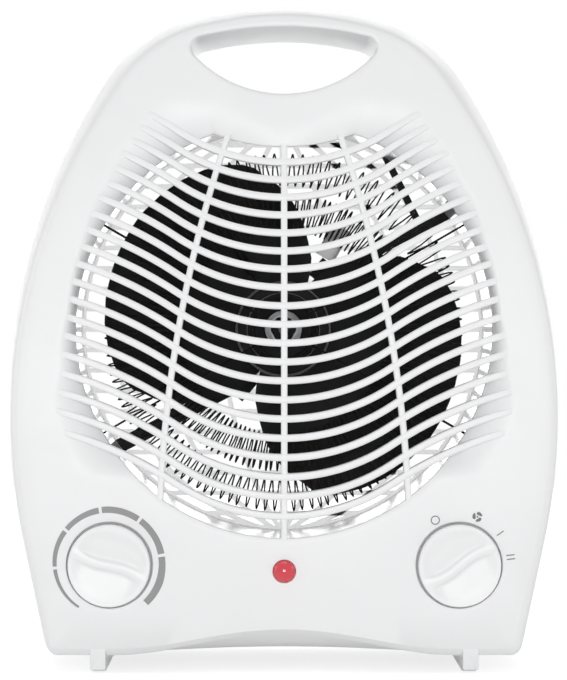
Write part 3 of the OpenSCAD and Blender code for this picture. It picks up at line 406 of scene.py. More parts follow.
def turned(name, x, z, profile, steps=64):
    """Turned solid along Y: the profile lists radius and depth from front to back."""
    turns = [2 * math.pi * k / steps for k in range(steps)]
    return stack(name, [[(x + r * math.cos(a), y, z + r * math.sin(a)) for a in turns] for r, y in profile])


for x in (-knob_x, knob_x):
    cup = [(17.7, -50.8), (17.7, -46.9), (17.4, -46.7)]
    cut(front_shell, turned("well_cup", x, knob_z, cup, 72), "UNION")
    cut(front_shell, flared(round_edge(x, knob_z, knob_r + 0.9), face_y, -48.0, 0.5))
    cut(front_shell, turned("cutter", x, knob_z, [(6.5, -60), (6.5, -40)], 48))
cut(front_shell, flared(round_edge(0, lens_z, lens_r + 0.1), face_y, 0, 0.3))
smooth(front_shell, 38)


def shader_of(material):
    return material.node_tree.nodes["Principled BSDF"]


def noise(tree, place, scale, detail):
    return add_node(tree, "TexNoise", {"Vector": place, "Scale": scale, "Detail": detail}).outputs["Fac"]


def surfaced(name, colour, mottle, clouds):
    """New material whose tone wanders in clouds; returns it, its shader and its own coordinates."""
    m = bpy.data.materials.new(name)
    m.use_nodes = True
    shader, place = shader_of(m), add_node(m.node_tree, "TexCoord").outputs["Object"]
    tone = add_node(m.node_tree, "ValToRGB", {"Fac": noise(m.node_tree, place, *clouds)})
    for stop, position, share in zip(tone.color_ramp.elements, (0.3, 0.7), (1 - mottle, 1 + mottle)):
        stop.position = position
        stop.color = [min(1, c * share) for c in colour] + [1]
    m.node_tree.links.new(tone.outputs["Color"], shader.inputs["Base Color"])
    return m, shader, place


def roughened(tree, shader, wear, least, most, grain, strength, depth):
    """Gloss that follows one pattern between two values, and fine relief that follows another."""
    spread = add_node(tree, "MapRange", {"Value": wear, "To Min": least, "To Max": most})
    tree.links.new(spread.outputs["Result"], shader.inputs["Roughness"])
    bump = add_node(tree, "Bump", {"Height": grain, "Strength": strength, "Distance": depth})
    tree.links.new(bump.outputs["Normal"], shader.inputs["Normal"])


def moulded(name, colour, rough, mottle=0.012, grain=1800.0, depth=0.00002):
    """Moulded plastic: a faint cloudy tone, wandering gloss and the grain of a spark-eroded mould."""
    m, shader, place = surfaced(name, colour, mottle, (22, 4))
    tree = m.node_tree
    roughened(tree, shader, noise(tree, place, 95, 6), max(0.02, rough - 0.07), min(1, rough + 0.07),
              noise(tree, place, grain, 2), 0.35, depth)
    return m


def dress(piece, material, body, slot, *instead):
    """Give a finished piece its material and its body, and hide the CAD nodes that it stands for. The slot is
    not used.
    """
    piece.data.materials.clear()
    piece.data.materials.append(material)
    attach(piece, body)
    if instead:
        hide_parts(*instead)


casing_white = moulded("casing_white", (0.865, 0.868, 0.875), 0.42)
dress(front_shell, casing_white, "heater", "casing_plastic", "front_casing")


# ---- Front grille ----
# Twenty sagging bars and three upright ribs, moulded with the front shell. The bars
# keep to the line of the face, so over the dished zone they stand free and then run out.
bar_count, bar_top_z, bar_pitch, bar_growth = 20, 199.1, 6.86, 0.042
bar_t, bar_depth, bar_half, bar_out_r = 2.8, 6, 33.4, 156
rib_w, rib_depth, rib_top_x, rib_bottom_x, rib_r = 2.5, 5, 25.4, 48.4, 520
turn_x = bar_sag_r * math.sin(math.radians(bar_half))
turn_z = bar_sag_r * (1 - math.cos(math.radians(bar_half)))
out_x = turn_x + bar_out_r * math.sin(math.radians(bar_half))


def bar_z(k):
    return bar_top_z - bar_pitch * k - bar_growth / 2 * k * k


def sag(x):
    """Rise of a bar above its lowest point: it sags in the middle and turns over towards its ends."""
    x = abs(x)
    if x < turn_x:
        return bar_sag_r - math.sqrt(bar_sag_r**2 - x * x)
    return turn_z - bar_out_r * math.cos(math.radians(bar_half)) + math.sqrt(bar_out_r**2 - (x - out_x) ** 2)


def past_dish(x, z):
    """How far a point lies outside the dished zone."""
    p = Vector((x, z - axis_z))
    a = math.degrees(math.atan2(p.y, p.x))
    edge = opening_edge(a, dish_reach(a) - opening_r) - Vector((0, axis_z))
    return p.length - edge.length


def blank(name, size, cuts, rounded, edge_r, segments):
    """Straight bar in short lengths, left in edit mode; rounded(v) picks the bevelled long edges."""
    bpy.ops.object.select_all(action="DESELECT")
    bpy.ops.mesh.primitive_cube_add(size=1)
    bar = bpy.context.object
    bar.name = bar.data.name = name
    bpy.ops.object.mode_set(mode="EDIT")
    bpy.ops.transform.resize(value=size)
    bpy.ops.mesh.select_mode(type="EDGE")
    along = size.index(max(size))

    def pick(wanted):
        bpy.ops.mesh.select_all(action="DESELECT")
        bm = bmesh.from_edit_mesh(bar.data)
        for e in bm.edges:
            run = abs(e.verts[0].co[along] - e.verts[1].co[along])
            e.select = run > 1e-4 and all(wanted(v) for v in e.verts)
        bmesh.update_edit_mesh(bar.data)

    pick(lambda v: True)
    bpy.ops.mesh.subdivide(number_cuts=cuts)
    pick(rounded)
    bpy.ops.mesh.bevel(offset=edge_r, segments=segments, affect="EDGES", clamp_overlap=False)
    return bar


straight = blank("straight_bar", (2, bar_depth / 1000, bar_t / 1000), 71, lambda v: v.co.y < 0, 0.0007, 3)
bpy.ops.object.mode_set(mode="OBJECT")
bars = []
for k in range(bar_count):
    bar = straight.copy()
    bar.data = straight.data.copy()
    bar.name = bar.data.name = f"grille_bar_{k + 1:02d}"
    bpy.context.scene.collection.objects.link(bar)
    end = 5.0
    while end < 108 and past_dish(end, bar_z(k) + sag(end)) < 1.5:
        end += 0.25
    for v in bar.data.vertices:
        x = v.co.x * end
        slope = (sag(x + 0.05) - sag(x - 0.05)) / 0.1 if abs(x) < end else 0
        n = Vector((-slope, 1)).normalized()
        p = Vector((x, bar_z(k) + sag(x))) + n * v.co.z * 1000
        out = past_dish(*p)
        sink = 0.8 * between([(-4, 0), (1.2, 1)], out, True)
        deep = v.co.y * 1000 + bar_depth / 2
        v.co = Vector((p.x, face_y(p.y) - 0.1 + sink + deep, p.y)) / 1000
    bars.append(bar)
bpy.data.objects.remove(straight, do_unlink=True)
for bar in bars:
    smooth(bar, 50)
    dress(bar, casing_white, "heater", "casing_plastic", "front_grille")


def arc_x(z, top, low, r):
    """Where the arc of radius r through two points, bulging outwards, passes height z."""
    d = Vector(low) - Vector(top)
    mid, n = (Vector(top) + Vector(low)) / 2, Vector((-d.y, d.x)).normalized()
    centre = mid - n * math.sqrt(r * r - d.length_squared / 4)
    return centre.x + math.sqrt(r * r - (z - centre.y) ** 2)


def within_opening(x, z):
    middle = Vector((0, axis_z))
    edge = opening_edge(heading((x, z)), 0.8) - middle
    return (Vector((x, z)) - middle).length < edge.length


# The ribs cross behind the bars' rounded fronts, from edge to edge of the opening.
upright = blank("upright_rib", (rib_w / 1000, rib_depth / 1000, 2), 59, lambda v: v.co.y < 0, 0.0006, 3)
bpy.ops.object.mode_set(mode="OBJECT")
for name, side in (("grille_rib_left", -1), ("grille_rib_middle", 0), ("grille_rib_right", 1)):
    rib = upright.copy()
    rib.data = upright.data.copy()
    rib.name = rib.data.name = name
    bpy.context.scene.collection.objects.link(rib)
    line = lambda z: side * arc_x(z, (rib_top_x, bar_z(0)), (rib_bottom_x, bar_z(bar_count - 1)), rib_r)
    crossed = [z / 4 for z in range(180, 860) if within_opening(line(z / 4), z / 4)]
    low, high = min(crossed), max(crossed)
    for v in rib.data.vertices:
        z = low + (high - low) * (v.co.z + 1) / 2
        x = line(z) + v.co.x * 1000
        v.co = Vector((x, face_y(z) + 0.12 + v.co.y * 1000 + rib_depth / 2, z)) / 1000
    smooth(rib, 50)
    dress(rib, casing_white, "heater", "casing_plastic", "front_grille")
bpy.data.objects.remove(upright, do_unlink=True)


# ---- Printed marks ----
# Grey pad-printed ink on the front face: a scale that widens clockwise round the
# thermostat, and O, a fan, I and II round the heat switch.
def printed(name, place, columns, rows, closed=False):
    """A skin of ink: place(s, t) gives x and z for s along and t across the mark, both 0 to 1."""
    bpy.ops.object.select_all(action="DESELECT")
    bpy.ops.mesh.primitive_grid_add(x_subdivisions=columns, y_subdivisions=rows, size=1)
    ink = bpy.context.object
    ink.name = ink.data.name = name
    bpy.ops.object.mode_set(mode="EDIT")
    bm = bmesh.from_edit_mesh(ink.data)
    for v in bm.verts:
        x, z = place(v.co.x + 0.5, v.co.y + 0.5)
        v.co = Vector((x, face_y(z) - 0.035, z)) / 1000
    if closed:
        bmesh.ops.remove_doubles(bm, verts=bm.verts, dist=1e-7)
    bmesh.update_edit_mesh(ink.data)
    bpy.ops.mesh.extrude_region_shrink_fatten(TRANSFORM_OT_shrink_fatten={"value": -0.00006})
    return sealed(ink)


def joined(name, pieces):
    bpy.ops.object.select_all(action="DESELECT")
    for piece in pieces:
        piece.select_set(True)
    bpy.context.view_layer.objects.active = pieces[0]
    bpy.ops.object.join()
    whole = bpy.context.object
    whole.name = whole.data.name = name
    return whole


ink_grey = moulded("ink_grey", (0.29, 0.29, 0.29), 0.5, 0.05, 2600, 0.000008)
ink_dark = moulded("ink_dark", (0.17, 0.17, 0.17), 0.5, 0.05, 2600, 0.000008)
scale_from, scale_to, scale_r, scale_gap = 236.3, -45.8, 19.8, 1.6
scale_c = Vector((-knob_x - 0.65, knob_z + 0.53))
scale_t = [(-46, 2.6), (-20, 2.9), (0, 2.6), (60, 2.4), (90, 2.5), (120, 2.1), (165, 1.75), (195, 1.35),
           (236, 0.85)]
gaps = [scale_from + scale_gap, 184.5, 141.2, 97.8, 54.2, 9, scale_to - scale_gap]
segments = []
for a0, a1 in zip(gaps, gaps[1:]):
    def arc(s, t, a0=a0 - scale_gap, a1=a1 + scale_gap):
        a = a0 + (a1 - a0) * s
        return scale_c + polar(scale_r + between(scale_t, a) * (1 - t), a)
    segments.append(printed("scale_segment", arc, 18, 1))
dress(joined("thermostat_scale", segments), ink_grey, "heater", "inner_plastic")

mark_r = 19.8
ring_c = Vector((knob_x, knob_z)) + polar(mark_r, 118)
marks = [printed("mark_o", lambda s, t: ring_c + polar(1.8 - 0.42 * t, 360 * s), 36, 1, True)]
fan_c = Vector((knob_x, knob_z)) + polar(mark_r + 0.3, 69.5)
for turn in (66, 186, 306):
    def blade_mark(s, t, turn=turn):
        r = 0.75 + 1.2 * t
        return fan_c + polar(r, turn + (s - 0.5) * (70 + 26 * math.sin(math.pi * t)) - 22 * t)
    marks.append(printed("mark_blade", blade_mark, 8, 4))
marks.append(printed("mark_dot", lambda s, t: fan_c + polar(0.02 + 0.36 * t, 360 * s), 16, 1, True))
for a, lift in ((38, 0), (9, 0.78), (9, -0.78)):
    middle = Vector((knob_x, knob_z)) + polar(mark_r + 0.4, a)
    n = polar(1, a + 90)
    marks.append(printed("mark_bar", lambda s, t, c=middle + n * lift, d=polar(1, a - 3), n=n:
                         c + d * (s - 0.5) * 3.2 + n * (t - 0.5) * 0.42, 4, 1))
dress(joined("switch_marks", marks), ink_dark, "heater", "inner_plastic")


# ---- Knobs ----
# Two white ABS knobs, each a low drum with an S-shaped finger ridge left standing
# between two scoops. They are pushed onto the thermostat's and the switch's spindles.
knob_front_y = -body_d / 2
ridge_w, ridge_swing, scoop = 2.8, 1.2, 1.3


def knob(name, x, turn):
    """Drum with scooped front: the grid's rows follow the ridge, its edge is the drum's rim."""
    edge_r, columns = knob_r - 0.5, 48
    lower = [0, 0.05, 0.12, 0.2, 0.3, 0.4, 0.5, 0.6, 0.7, 0.78, 0.84, 0.885, 0.915, 0.94, 0.96, 0.98, 1]
    across = [0.12, 0.3, 0.5, 0.7, 0.88]
    rows = len(lower) * 2 + len(across)
    bpy.ops.object.select_all(action="DESELECT")
    bpy.ops.mesh.primitive_grid_add(x_subdivisions=columns, y_subdivisions=rows - 1, size=1)
    drum = bpy.context.object
    drum.name = drum.data.name = name
    bpy.ops.object.mode_set(mode="EDIT")
    bm = bmesh.from_edit_mesh(drum.data)
    for v in bm.verts:
        s = v.co.x * 2
        row = round((v.co.y + 0.5) * (rows - 1))
        line = edge_r * math.sin(math.radians(79 * s))
        half = math.sqrt(edge_r**2 - line**2)
        mid = ridge_swing * math.sin(math.pi * line / knob_r)
        if row < len(lower):
            z = -half + (mid - ridge_w / 2 + half) * lower[row]
        elif row < len(lower) + len(across):
            z = mid + ridge_w * (across[row - len(lower)] - 0.5)
        else:
            z = half - (half - mid - ridge_w / 2) * lower[rows - 1 - row]
        bow = abs(s) ** 8
        px = line * (1 - bow) + math.copysign(math.sqrt(max(edge_r**2 - z * z, 0)), s) * bow
        off = max(0, abs(z - mid) - ridge_w / 2)
        room = max(0.5, half - (mid if z > mid else -mid) - ridge_w / 2)
        fall = between([(0, 0), (0.75, 0.75), (1.3, 1)], off)
        fall *= between([(0, 1), (0.5, 0.58), (1, 0)], off / room, True)
        deep = scoop * fall * between([(0, 1), (0.6, 0.9), (0.98, 0)], abs(line) / edge_r, True)
        soften = 0.15 * between([(ridge_w / 2 - 0.7, 0), (ridge_w / 2, 1)], abs(z - mid), True)
        p = Vector((x, knob_z)) + Matrix.Rotation(math.radians(turn), 2) @ Vector((px, z))
        v.co = Vector((p.x, knob_front_y + max(deep, soften * (1 - bow)), p.y)) / 1000
    bmesh.update_edit_mesh(drum.data)
    bpy.ops.mesh.select_mode(type="EDGE")
    bpy.ops.mesh.select_all(action="DESELECT")
    bm = bmesh.from_edit_mesh(drum.data)
    for e in bm.edges:
        e.select = e.is_boundary
    bmesh.update_edit_mesh(drum.data)
    centre = Vector((x, 0, knob_z)) / 1000
    for r, y in ((knob_r - 0.25, 0.07), (knob_r - 0.07, 0.25), (knob_r, 0.5), (knob_r, 4), (knob_r, 8.2)):
        bpy.ops.mesh.extrude_region_move()
        bm = bmesh.from_edit_mesh(drum.data)
        for v in bm.verts:
            if v.select:
                out = Vector((v.co.x - centre.x, v.co.z - centre.z)).normalized() * r / 1000
                v.co = Vector((centre.x + out.x, (knob_front_y + y) / 1000, centre.z + out.y))
        bmesh.update_edit_mesh(drum.data)
    bpy.ops.mesh.edge_face_add()
    bpy.ops.mesh.inset(thickness=0.0109)
    bpy.ops.transform.translate(value=(0, 0.0093, 0))
    smooth(sealed(drum), 40)
    return drum


knob_white = moulded("knob_white", (0.862, 0.865, 0.872), 0.36, 0.01, 2400, 0.000012)
thermostat_dial = knob("thermostat_dial_knob", -knob_x, -24)
dress(thermostat_dial, knob_white, "thermostat_dial", "knob_plastic", "thermostat_knob")
dress(knob("switch_dial_knob", knob_x, 27), knob_white, "switch_dial", "knob_plastic", "switch_knob")


# ---- Indicator ----
# A glossy red lens, pushed in from behind so that its dome stands out of the face,
# in front of a small neon lamp.
lens_y = face_y(lens_z)
dome_h = 2.4
dome_r = (lens_r**2 + dome_h**2) / 2 / dome_h
dome = [(dome_r * math.sin(math.radians(a)), lens_y - dome_h + dome_r * (1 - math.cos(math.radians(a))))
        for a in (0.5, 4, 8, 13, 18, 24, 30, 36, 42, 48, 53, 57)]
lens = turned("indicator_dome", 0, lens_z, dome + [(lens_r - 0.08, lens_y), (lens_r - 0.05, lens_y + 0.3),
                                                   (lens_r - 0.05, lens_y + 14.9)])
smooth(lens, 40)
red = moulded("lens_red", (0.66, 0.006, 0.03), 0.12, 0.06, 900, 0.000004)
shader = shader_of(red)
shader.inputs["Coat Weight"].default_value = 1.0
shader.inputs["Coat Roughness"].default_value = 0.05
shader.inputs["Subsurface Weight"].default_value = 0.25
shader.inputs["Subsurface Radius"].default_value = (0.004, 0.0006, 0.0006)
shader.inputs["Subsurface Scale"].default_value = 1.0
dress(lens, red, "heater", "red_lens", "indicator_lens")


# ---- Rear shell ----
# The back half of the casing, the same satin white ABS, screwed to the front shell
# from behind through four deep wells. It holds the back grille and the cable hole.
back_flat_z, back_r, back_round, back_hole_r = 165, 190, 9, 86.15
back_draft = (2.5, 5, 5, 5)
pillars = [(83, 20), (-83, 20), (68, 206), (-68, 206)]
post_r, shank_hole_r, head_hole_r, screw_seat_y = 4.6, 1.7, 3.1, parting_y + 8
cable_x, cable_z, cable_r = -47.75, 21, 4.5


def rear_y(z):
    """Depth of the back face at height z: upright, then an arc that leans forward."""
    return body_d / 2 - (0 if z <= back_flat_z else back_r - math.sqrt(back_r**2 - (z - back_flat_z) ** 2))


rings = []
for share in (0, 0.2, 0.4, 0.6, 0.8, 1):
    rings.append([(p.x, parting_y * (1 - share) + (rear_y(p.y) - back_round) * share, p.y)
                  for p in outline(share, 0, back_draft)])
for a in (15, 30, 45, 60, 75, 90):
    turn = math.radians(a)
    rings.append(laid(outline(1, back_round * (1 - math.cos(turn)), back_draft), rear_y,
                      -back_round * (1 - math.sin(turn))))
inner = outline(1, back_round, back_draft)
hole = [Vector((0, axis_z)) + polar(back_hole_r, heading(p)) for p in inner]
for share in (0.2, 0.4, 0.6, 0.8):
    rings.append(laid((p.lerp(o, share) for p, o in zip(inner, hole)), rear_y))
for grow, sink in ((0.5, 0), (0.15, 0.15), (0, 0.5), (0, wall)):
    edge = (Vector((0, axis_z)) + polar(back_hole_r + grow, heading(p)) for p in inner)
    rings.append(laid(edge, rear_y, -sink))
rings.append(laid((under(p.lerp(o, 0.5)) for p, o in zip(inner, hole)), rear_y, -wall))
rings.append(laid(map(under, inner), rear_y, -wall))
rings.append(laid(map(under, outline(1, wall, back_draft)), rear_y, -back_round))
rings.append([(q.x, parting_y, q.y) for q in map(under, outline(0, wall, back_draft))])
rear_shell = loft("rear_shell", rings)


cut(rear_shell, flared(grip_edge, rear_y, -30, 2.0, -1))
for x, z in pillars:
    post = [(post_r, parting_y), (post_r, rear_y(z + post_r) - wall / 2)]
    cut(rear_shell, turned("post", x, z, post, 48), "UNION")
for x, z in pillars:
    well = [(shank_hole_r, parting_y - 1), (shank_hole_r, screw_seat_y),
            (head_hole_r, screw_seat_y), (head_hole_r, 70)]
    cut(rear_shell, turned("well", x, z, well, 40))
cut(rear_shell, flared(round_edge(cable_x, cable_z, cable_r), rear_y, 45, 1.0, -1))
smooth(rear_shell, 38)
dress(rear_shell, casing_white, "heater", "casing_plastic", "rear_casing")


# ---- Back grille ----
# One white moulding set into the back: straight level bars in a ring, stiffened by a
# middle upright and three pairs of bowed ones.
back_grille_r, back_pitch, back_bar_t, back_depth = 85.85, 8.6, 2.0, 3.0


def strip(name, across, deep, cuts, place):
    """A bar along X with its four long edges rounded, laid by place(s, t, d)."""
    bar = blank(name, (1, deep / 1000, across / 1000), cuts,
                lambda v: abs(abs(v.co.z) - across / 2000) < 1e-6, 0.0005, 2)
    bm = bmesh.from_edit_mesh(bar.data)
    for v in bm.verts:
        v.co = Vector(place(v.co.x + 0.5, v.co.z * 1000, v.co.y * 1000)) / 1000
    bmesh.update_edit_mesh(bar.data)
    return sealed(bar)


def back_at(x, z, d):
    return x, rear_y(z) - 0.2 - back_depth / 2 + d, z


pieces = []
for k in range(-9, 10):
    half = math.sqrt((back_grille_r - 1.5) ** 2 - (k * back_pitch) ** 2)
    pieces.append(strip("bar", back_bar_t, back_depth - 0.3, 1, lambda s, t, d, k=k, half=half:
                        back_at((2 * s - 1) * half, axis_z + k * back_pitch + t, d)))
pieces.append(strip("upright", rib_w, back_depth - 0.2, 24, lambda s, t, d:
                    back_at(t, axis_z + (2 * s - 1) * (back_grille_r - 1.5), d)))
for share in (0.29, 0.59, 0.82):
    arc_r = back_grille_r * (1 + share * share) / 2 / share
    half_a = math.degrees(math.atan2(back_grille_r, arc_r - share * back_grille_r)) - 1
    for side in (-1, 1):
        def bowed(s, t, d, side=side, arc_r=arc_r, share=share, half_a=half_a):
            p = polar(arc_r + t, (2 * s - 1) * half_a)
            return back_at(side * (share * back_grille_r - arc_r + p.x), axis_z + p.y, d)
        pieces.append(strip("bowed", back_bar_t, back_depth - 0.1, 36, bowed))
ring = loft("ring", [[back_at(r * math.cos(math.radians(a)), axis_z + r * math.sin(math.radians(a)), d)
                      for a in range(0, 360, 3)]
                     for r, d in ((back_grille_r, -1.5), (back_grille_r, 1.2),
                                  (back_grille_r - 0.3, 1.5), (back_grille_r - 2.6, 1.5),
                                  (back_grille_r - 3, 1.1), (back_grille_r - 3, -1.5))])
back_grille = joined("back_grille", pieces)
cut(back_grille, ring, "UNION", crossed=True)
smooth(back_grille, 50)
# Its white is set brighter than the casing's. This is partly the grille's own white and partly painted light
# that makes up for the shade inside the casing.
grille_white = moulded("grille_white", (0.95, 0.952, 0.955), 0.42)
shader = shader_of(grille_white)
shader.inputs["Subsurface Weight"].default_value = 1.0
shader.inputs["Subsurface Radius"].default_value = (0.08, 0.08, 0.08)
shader.inputs["Subsurface Scale"].default_value = 1.0
dress(back_grille, grille_white, "heater", "casing_plastic", "rear_grille")


# ---- Feet ----
# Two straight runners moulded under the casing, each with a curved web on its inner side.
# The front end rises over the casing's slanting lower edge and lifts a little off the floor.
foot_w, foot_x = 6.0, 72.5
flare = foot_h * 0.55
foot_back = body_d / 2 - 5 - 4
toe_h, toe_rake, toe_lift = foot_h + 3.3, 0.8, 1.35
toe_y = face_y(toe_h) - 0.05


inner_x, outer_x, web_z = foot_x - foot_w / 2, foot_x + foot_w / 2, foot_h - flare - 0.8
section = [(outer_x, foot_h + 0.6), (outer_x, 0.5), (outer_x - 0.15, 0.15), (outer_x - 0.5, 0),
           (inner_x + 0.5, 0), (inner_x + 0.15, 0.15), (inner_x, 0.5), (inner_x, web_z)]
section += [tuple(Vector((inner_x - flare, web_z)) + polar(flare, 90 * k / 8)) for k in range(1, 9)]
section += [(inner_x - flare, foot_h + 0.6)]
middle = Vector((sum(p[0] for p in section), sum(p[1] for p in section))) / len(section)
for name, side in (("foot_left_runner", -1), ("foot_right_runner", 1)):
    rings = []
    for y, inset, toe in ((toe_y, 0.6, 1), (toe_y + 0.2, 0.2, 1), (toe_y + 0.6, 0, 1), (toe_y + 12, 0, 0),
                          (foot_back - 0.6, 0, 0), (foot_back - 0.2, 0.2, 0), (foot_back, 0.6, 0)):
        ring = []
        for x, z in section:
            rise = inset * 0.3 + toe * toe_lift if z < 1 else toe * (toe_h - foot_h - 0.6) * (z > foot_h)
            x += max(0, inner_x - x) * toe
            rake = toe * toe_rake * max(0, 1 - z / toe_h)
            ring.append((side * (x + (middle.x - x) * inset * 0.1), y + rake, z + rise))
        rings.append(ring)
    runner = stack(name, rings)
    smooth(runner, 40)
    dress(runner, casing_white, "heater", "casing_plastic", name.replace("_runner", ""))


# ---- Fan ----
# One black nylon moulding on the motor's shaft: a cup-shaped hub with a stiffening
# groove round its face, and two broad swept blades, thicker in the middle than at the edges.
hub_r, fan_r, fan_y, fan_depth, fan_angle, blade_half, blade_t = 19, 74, 0, 16, 151, 90, 1.4
tip_start = fan_r * 0.8
blade_shape = [(0, 1), (0.18, 0.94), (0.35, 0.84), (0.56, 0.745), (0.69, 0.67), (0.8, 0.6), (1, 0.6)]


def at_axis(r, a, y):
    p = polar(r, a)
    return p.x, y, axis_z + p.y


def blade(name, turn):
    """Swept blade: one closed section for each radius, from inside the hub's wall to the round tip."""
    sections = []
    for r in (18, 19.5, 22, 26, 31, 37, 43, 48, 52.5, 53.1, 56.4, 57, 60, 63, 66, 68.5, 70.5, 72, 73,
              73.6, 73.9, 74):
        t = max(0, (r - tip_start) / (fan_r - tip_start))
        swept = blade_half * between(blade_shape, (r - hub_r) / (fan_r - hub_r))
        swept *= (1 - min(t, 0.995) ** 2.6) ** (1 / 2.6)
        lift = 0.22 if 53 < r < 56.5 else 0
        section = []
        for skin in (-1, 1):
            for k in range(33):
                s = k / 32 if skin < 0 else 1 - k / 32
                s = 0.5 - 0.5 * math.cos(math.pi * s)
                y = fan_y + 1 + blade_t / 2 + (fan_depth - blade_t - 2) * s
                half = blade_t / 2 * (0.3 + 0.7 * math.sqrt(max(0, 1 - (2 * s - 1) ** 6)))
                half *= between([(72.8, 1), (74, 0.35)], r)
                y += skin * half - (lift if skin < 0 else 0)
                section.append(at_axis(r, turn + swept * (2 * s - 1), y))
        sections.append(section)
    return stack(name, sections)


hub_edge = [(17.4 + 1.6 * math.sin(math.radians(a)), 1.6 - 1.6 * math.cos(math.radians(a)))
            for a in range(0, 91, 15)]
hub_profile = [(2.05, 0), (5.6, 0), (12.7, 0), (12.95, 0.2), (13.1, 0.75), (14.3, 0.75),
               (14.5, 0.2), (14.75, 0)]
hub_profile += hub_edge + [(19, 15.6), (18.7, 16), (17.3, 16), (17, 15.7), (17, 3.4), (16.6, 3),
                           (5.4, 3), (5, 3.4), (5, 13.6), (4.7, 14), (2.3, 14), (2.05, 13.7)]
hub = loft("fan_hub", [[at_axis(r, a, fan_y + y) for a in range(0, 360, 4)] for r, y in hub_profile])
fan = joined("fan_moulding", [hub, blade("blade_a", fan_angle), blade("blade_b", fan_angle + 180)])
smooth(fan, 32)
fan_black = moulded("fan_black", (0.034, 0.034, 0.0345), 0.42, 0.12, 1500, 0.00001)
tree, shader = fan_black.node_tree, shader_of(fan_black)
shader.inputs["Specular IOR Level"].default_value = 0.05
# Two painted highlights: thin grey rings on the groove's inner edge and on the hub's rim stand in for light
# glinting off these edges.
place = add_node(tree, "TexCoord").outputs["Object"]
centred = add_node(tree, "VectorMath", {0: place, 1: (0, 0, axis_z / 1000)}, operation="SUBTRACT")
flat = add_node(tree, "VectorMath", {0: centred.outputs[0], 1: (1, 0, 1)}, operation="MULTIPLY")
radius = add_node(tree, "VectorMath", {0: flat.outputs[0]}, operation="LENGTH").outputs["Value"]
groove_highlight = add_node(tree, "Math", {0: radius, 1: 0.01462, 2: 0.00022}, operation="COMPARE")
rim_highlight = add_node(tree, "Math", {0: radius, 1: 0.0189, 2: 0.0005}, operation="COMPARE")
either = add_node(tree, "Math", {0: groove_highlight.outputs[0], 1: rim_highlight.outputs[0]}, operation="MAXIMUM")
# The painted highlight grey is mixed into the black on these two rings.
plain = shader.inputs["Base Color"].links[0].from_socket
painted_highlight = add_node(tree, "Mix", {"Factor": either.outputs[0], "A": plain, "B": (0.3, 0.3, 0.3, 1)},
                 data_type="RGBA")
tree.links.new(painted_highlight.outputs["Result"], shader.inputs["Base Color"])
dress(fan, fan_black, "fan_rotor", "fan_plastic", "fan")


# ---- Fan nut ----
# A bright plated push-on nut that keeps the fan on its shaft: a flanged, dished ring
# whose bore is notched into teeth.
def metal(name, colour, rough, grain=(60, 60, 60), mottle=0.08, depth=0.000004):
    """Bare or plated metal: tone and gloss wander a little, with fine marks drawn out along the grain."""
    m, shader, place = surfaced(name, colour, mottle, (140, 5))
    tree = m.node_tree
    shader.inputs["Metallic"].default_value = 1.0
    drawn = add_node(tree, "Mapping", {"Vector": place, "Scale": grain})
    marks = noise(tree, drawn.outputs["Vector"], 30, 6)
    roughened(tree, shader, marks, max(0.03, rough - 0.1), min(1, rough + 0.1), marks, 0.4, depth)
    return m


nut_profile = [(7.46, -0.02), (7.46, -6.2), (7.38, -6.4), (7.2, -6.5), (6.9, -6.5), (6.7, -6.56),
               (6.2, -6.64),
               (5.6, -6.74), (5.2, -6.8), (4.95, -6.78), (4.8, -6.6), (4.5, -6.0), (4.2, -4.0), (4.0, -1.0),
               (4.0, -0.02)]
rings = []
for r, y in nut_profile:
    notch = between([(4.5, 1), (5.2, 0)], r)
    rings.append([at_axis(r + notch * (0.6 * math.cos(math.radians(6 * a))), a, fan_y + y)
                  for a in range(0, 360, 5)])
nut = loft("fan_push_nut", rings)
smooth(nut, 28)
chrome = metal("nut_chrome", (0.5, 0.5, 0.51), 0.5, (8, 8, 8))
dress(nut, chrome, "fan_rotor", "nut_chrome", "fan_nut")


# ---- Heating wires ----
# Two rings of bare resistance wire, each wound as one flat zigzag through the notches
# of the boards: a close inner ring and a wider outer one.
coil_y, coil_depth, wire_r, coil_drop = -26, 10, 0.33, 1.4


def coil(name, r0, r1, turns, wander):
    """One wire along a flat helix: out on the front, back on the rear, each turn a little uneven."""
    lo, hi, front, back = r0 + wire_r, r1 - wire_r, coil_y + wire_r, coil_y + coil_depth - wire_r
    step = 360 / turns
    path = []
    for k in range(turns):
        drift = wander * (math.sin(k * 12.9898) + 0.6 * math.sin(k * 4.37))
        short = 0.35 * abs(math.sin(k * 7.31))
        low, high = lo + 0.5 * short, hi - short
        for share, r, y in ((0.08, low + 1.1, front), (0.24, (low + high) / 2, front + 0.1),
                            (0.4, high - 1.1, front), (0.47, high - 0.2, front + 0.9),
                            (0.5, high, (front + back) / 2), (0.53, high - 0.2, back - 0.9),
                            (0.6, high - 1.1, back), (0.76, (low + high) / 2, back - 0.1),
                            (0.92, low + 1.1, back), (0.97, low + 0.2, back - 0.9),
                            (1.0, low, (front + back) / 2), (1.03, low + 0.2, front + 0.9)):
            x, y, z = at_axis(r, step * (k + share + drift * min(1, 4 * (r - low) / (high - low))), y)
            path.append((x, y, z - coil_drop))
    line = bpy.data.curves.new(name, "CURVE")
    line.dimensions = "3D"
    line.bevel_depth, line.bevel_resolution = wire_r / 1000, 1
    spline = line.splines.new("POLY")
    spline.points.add(len(path) - 1)
    for point, p in zip(spline.points, path):
        point.co = (*(c / 1000 for c in p), 1)
    spline.use_cyclic_u = True
    wire = bpy.data.objects.new(name, line)
    bpy.context.scene.collection.objects.link(wire)
    bpy.ops.object.select_all(action="DESELECT")
    wire.select_set(True)
    bpy.context.view_layer.objects.active = wire
    bpy.ops.object.convert(target="MESH")
    bpy.ops.object.shade_smooth()
    return bpy.context.object


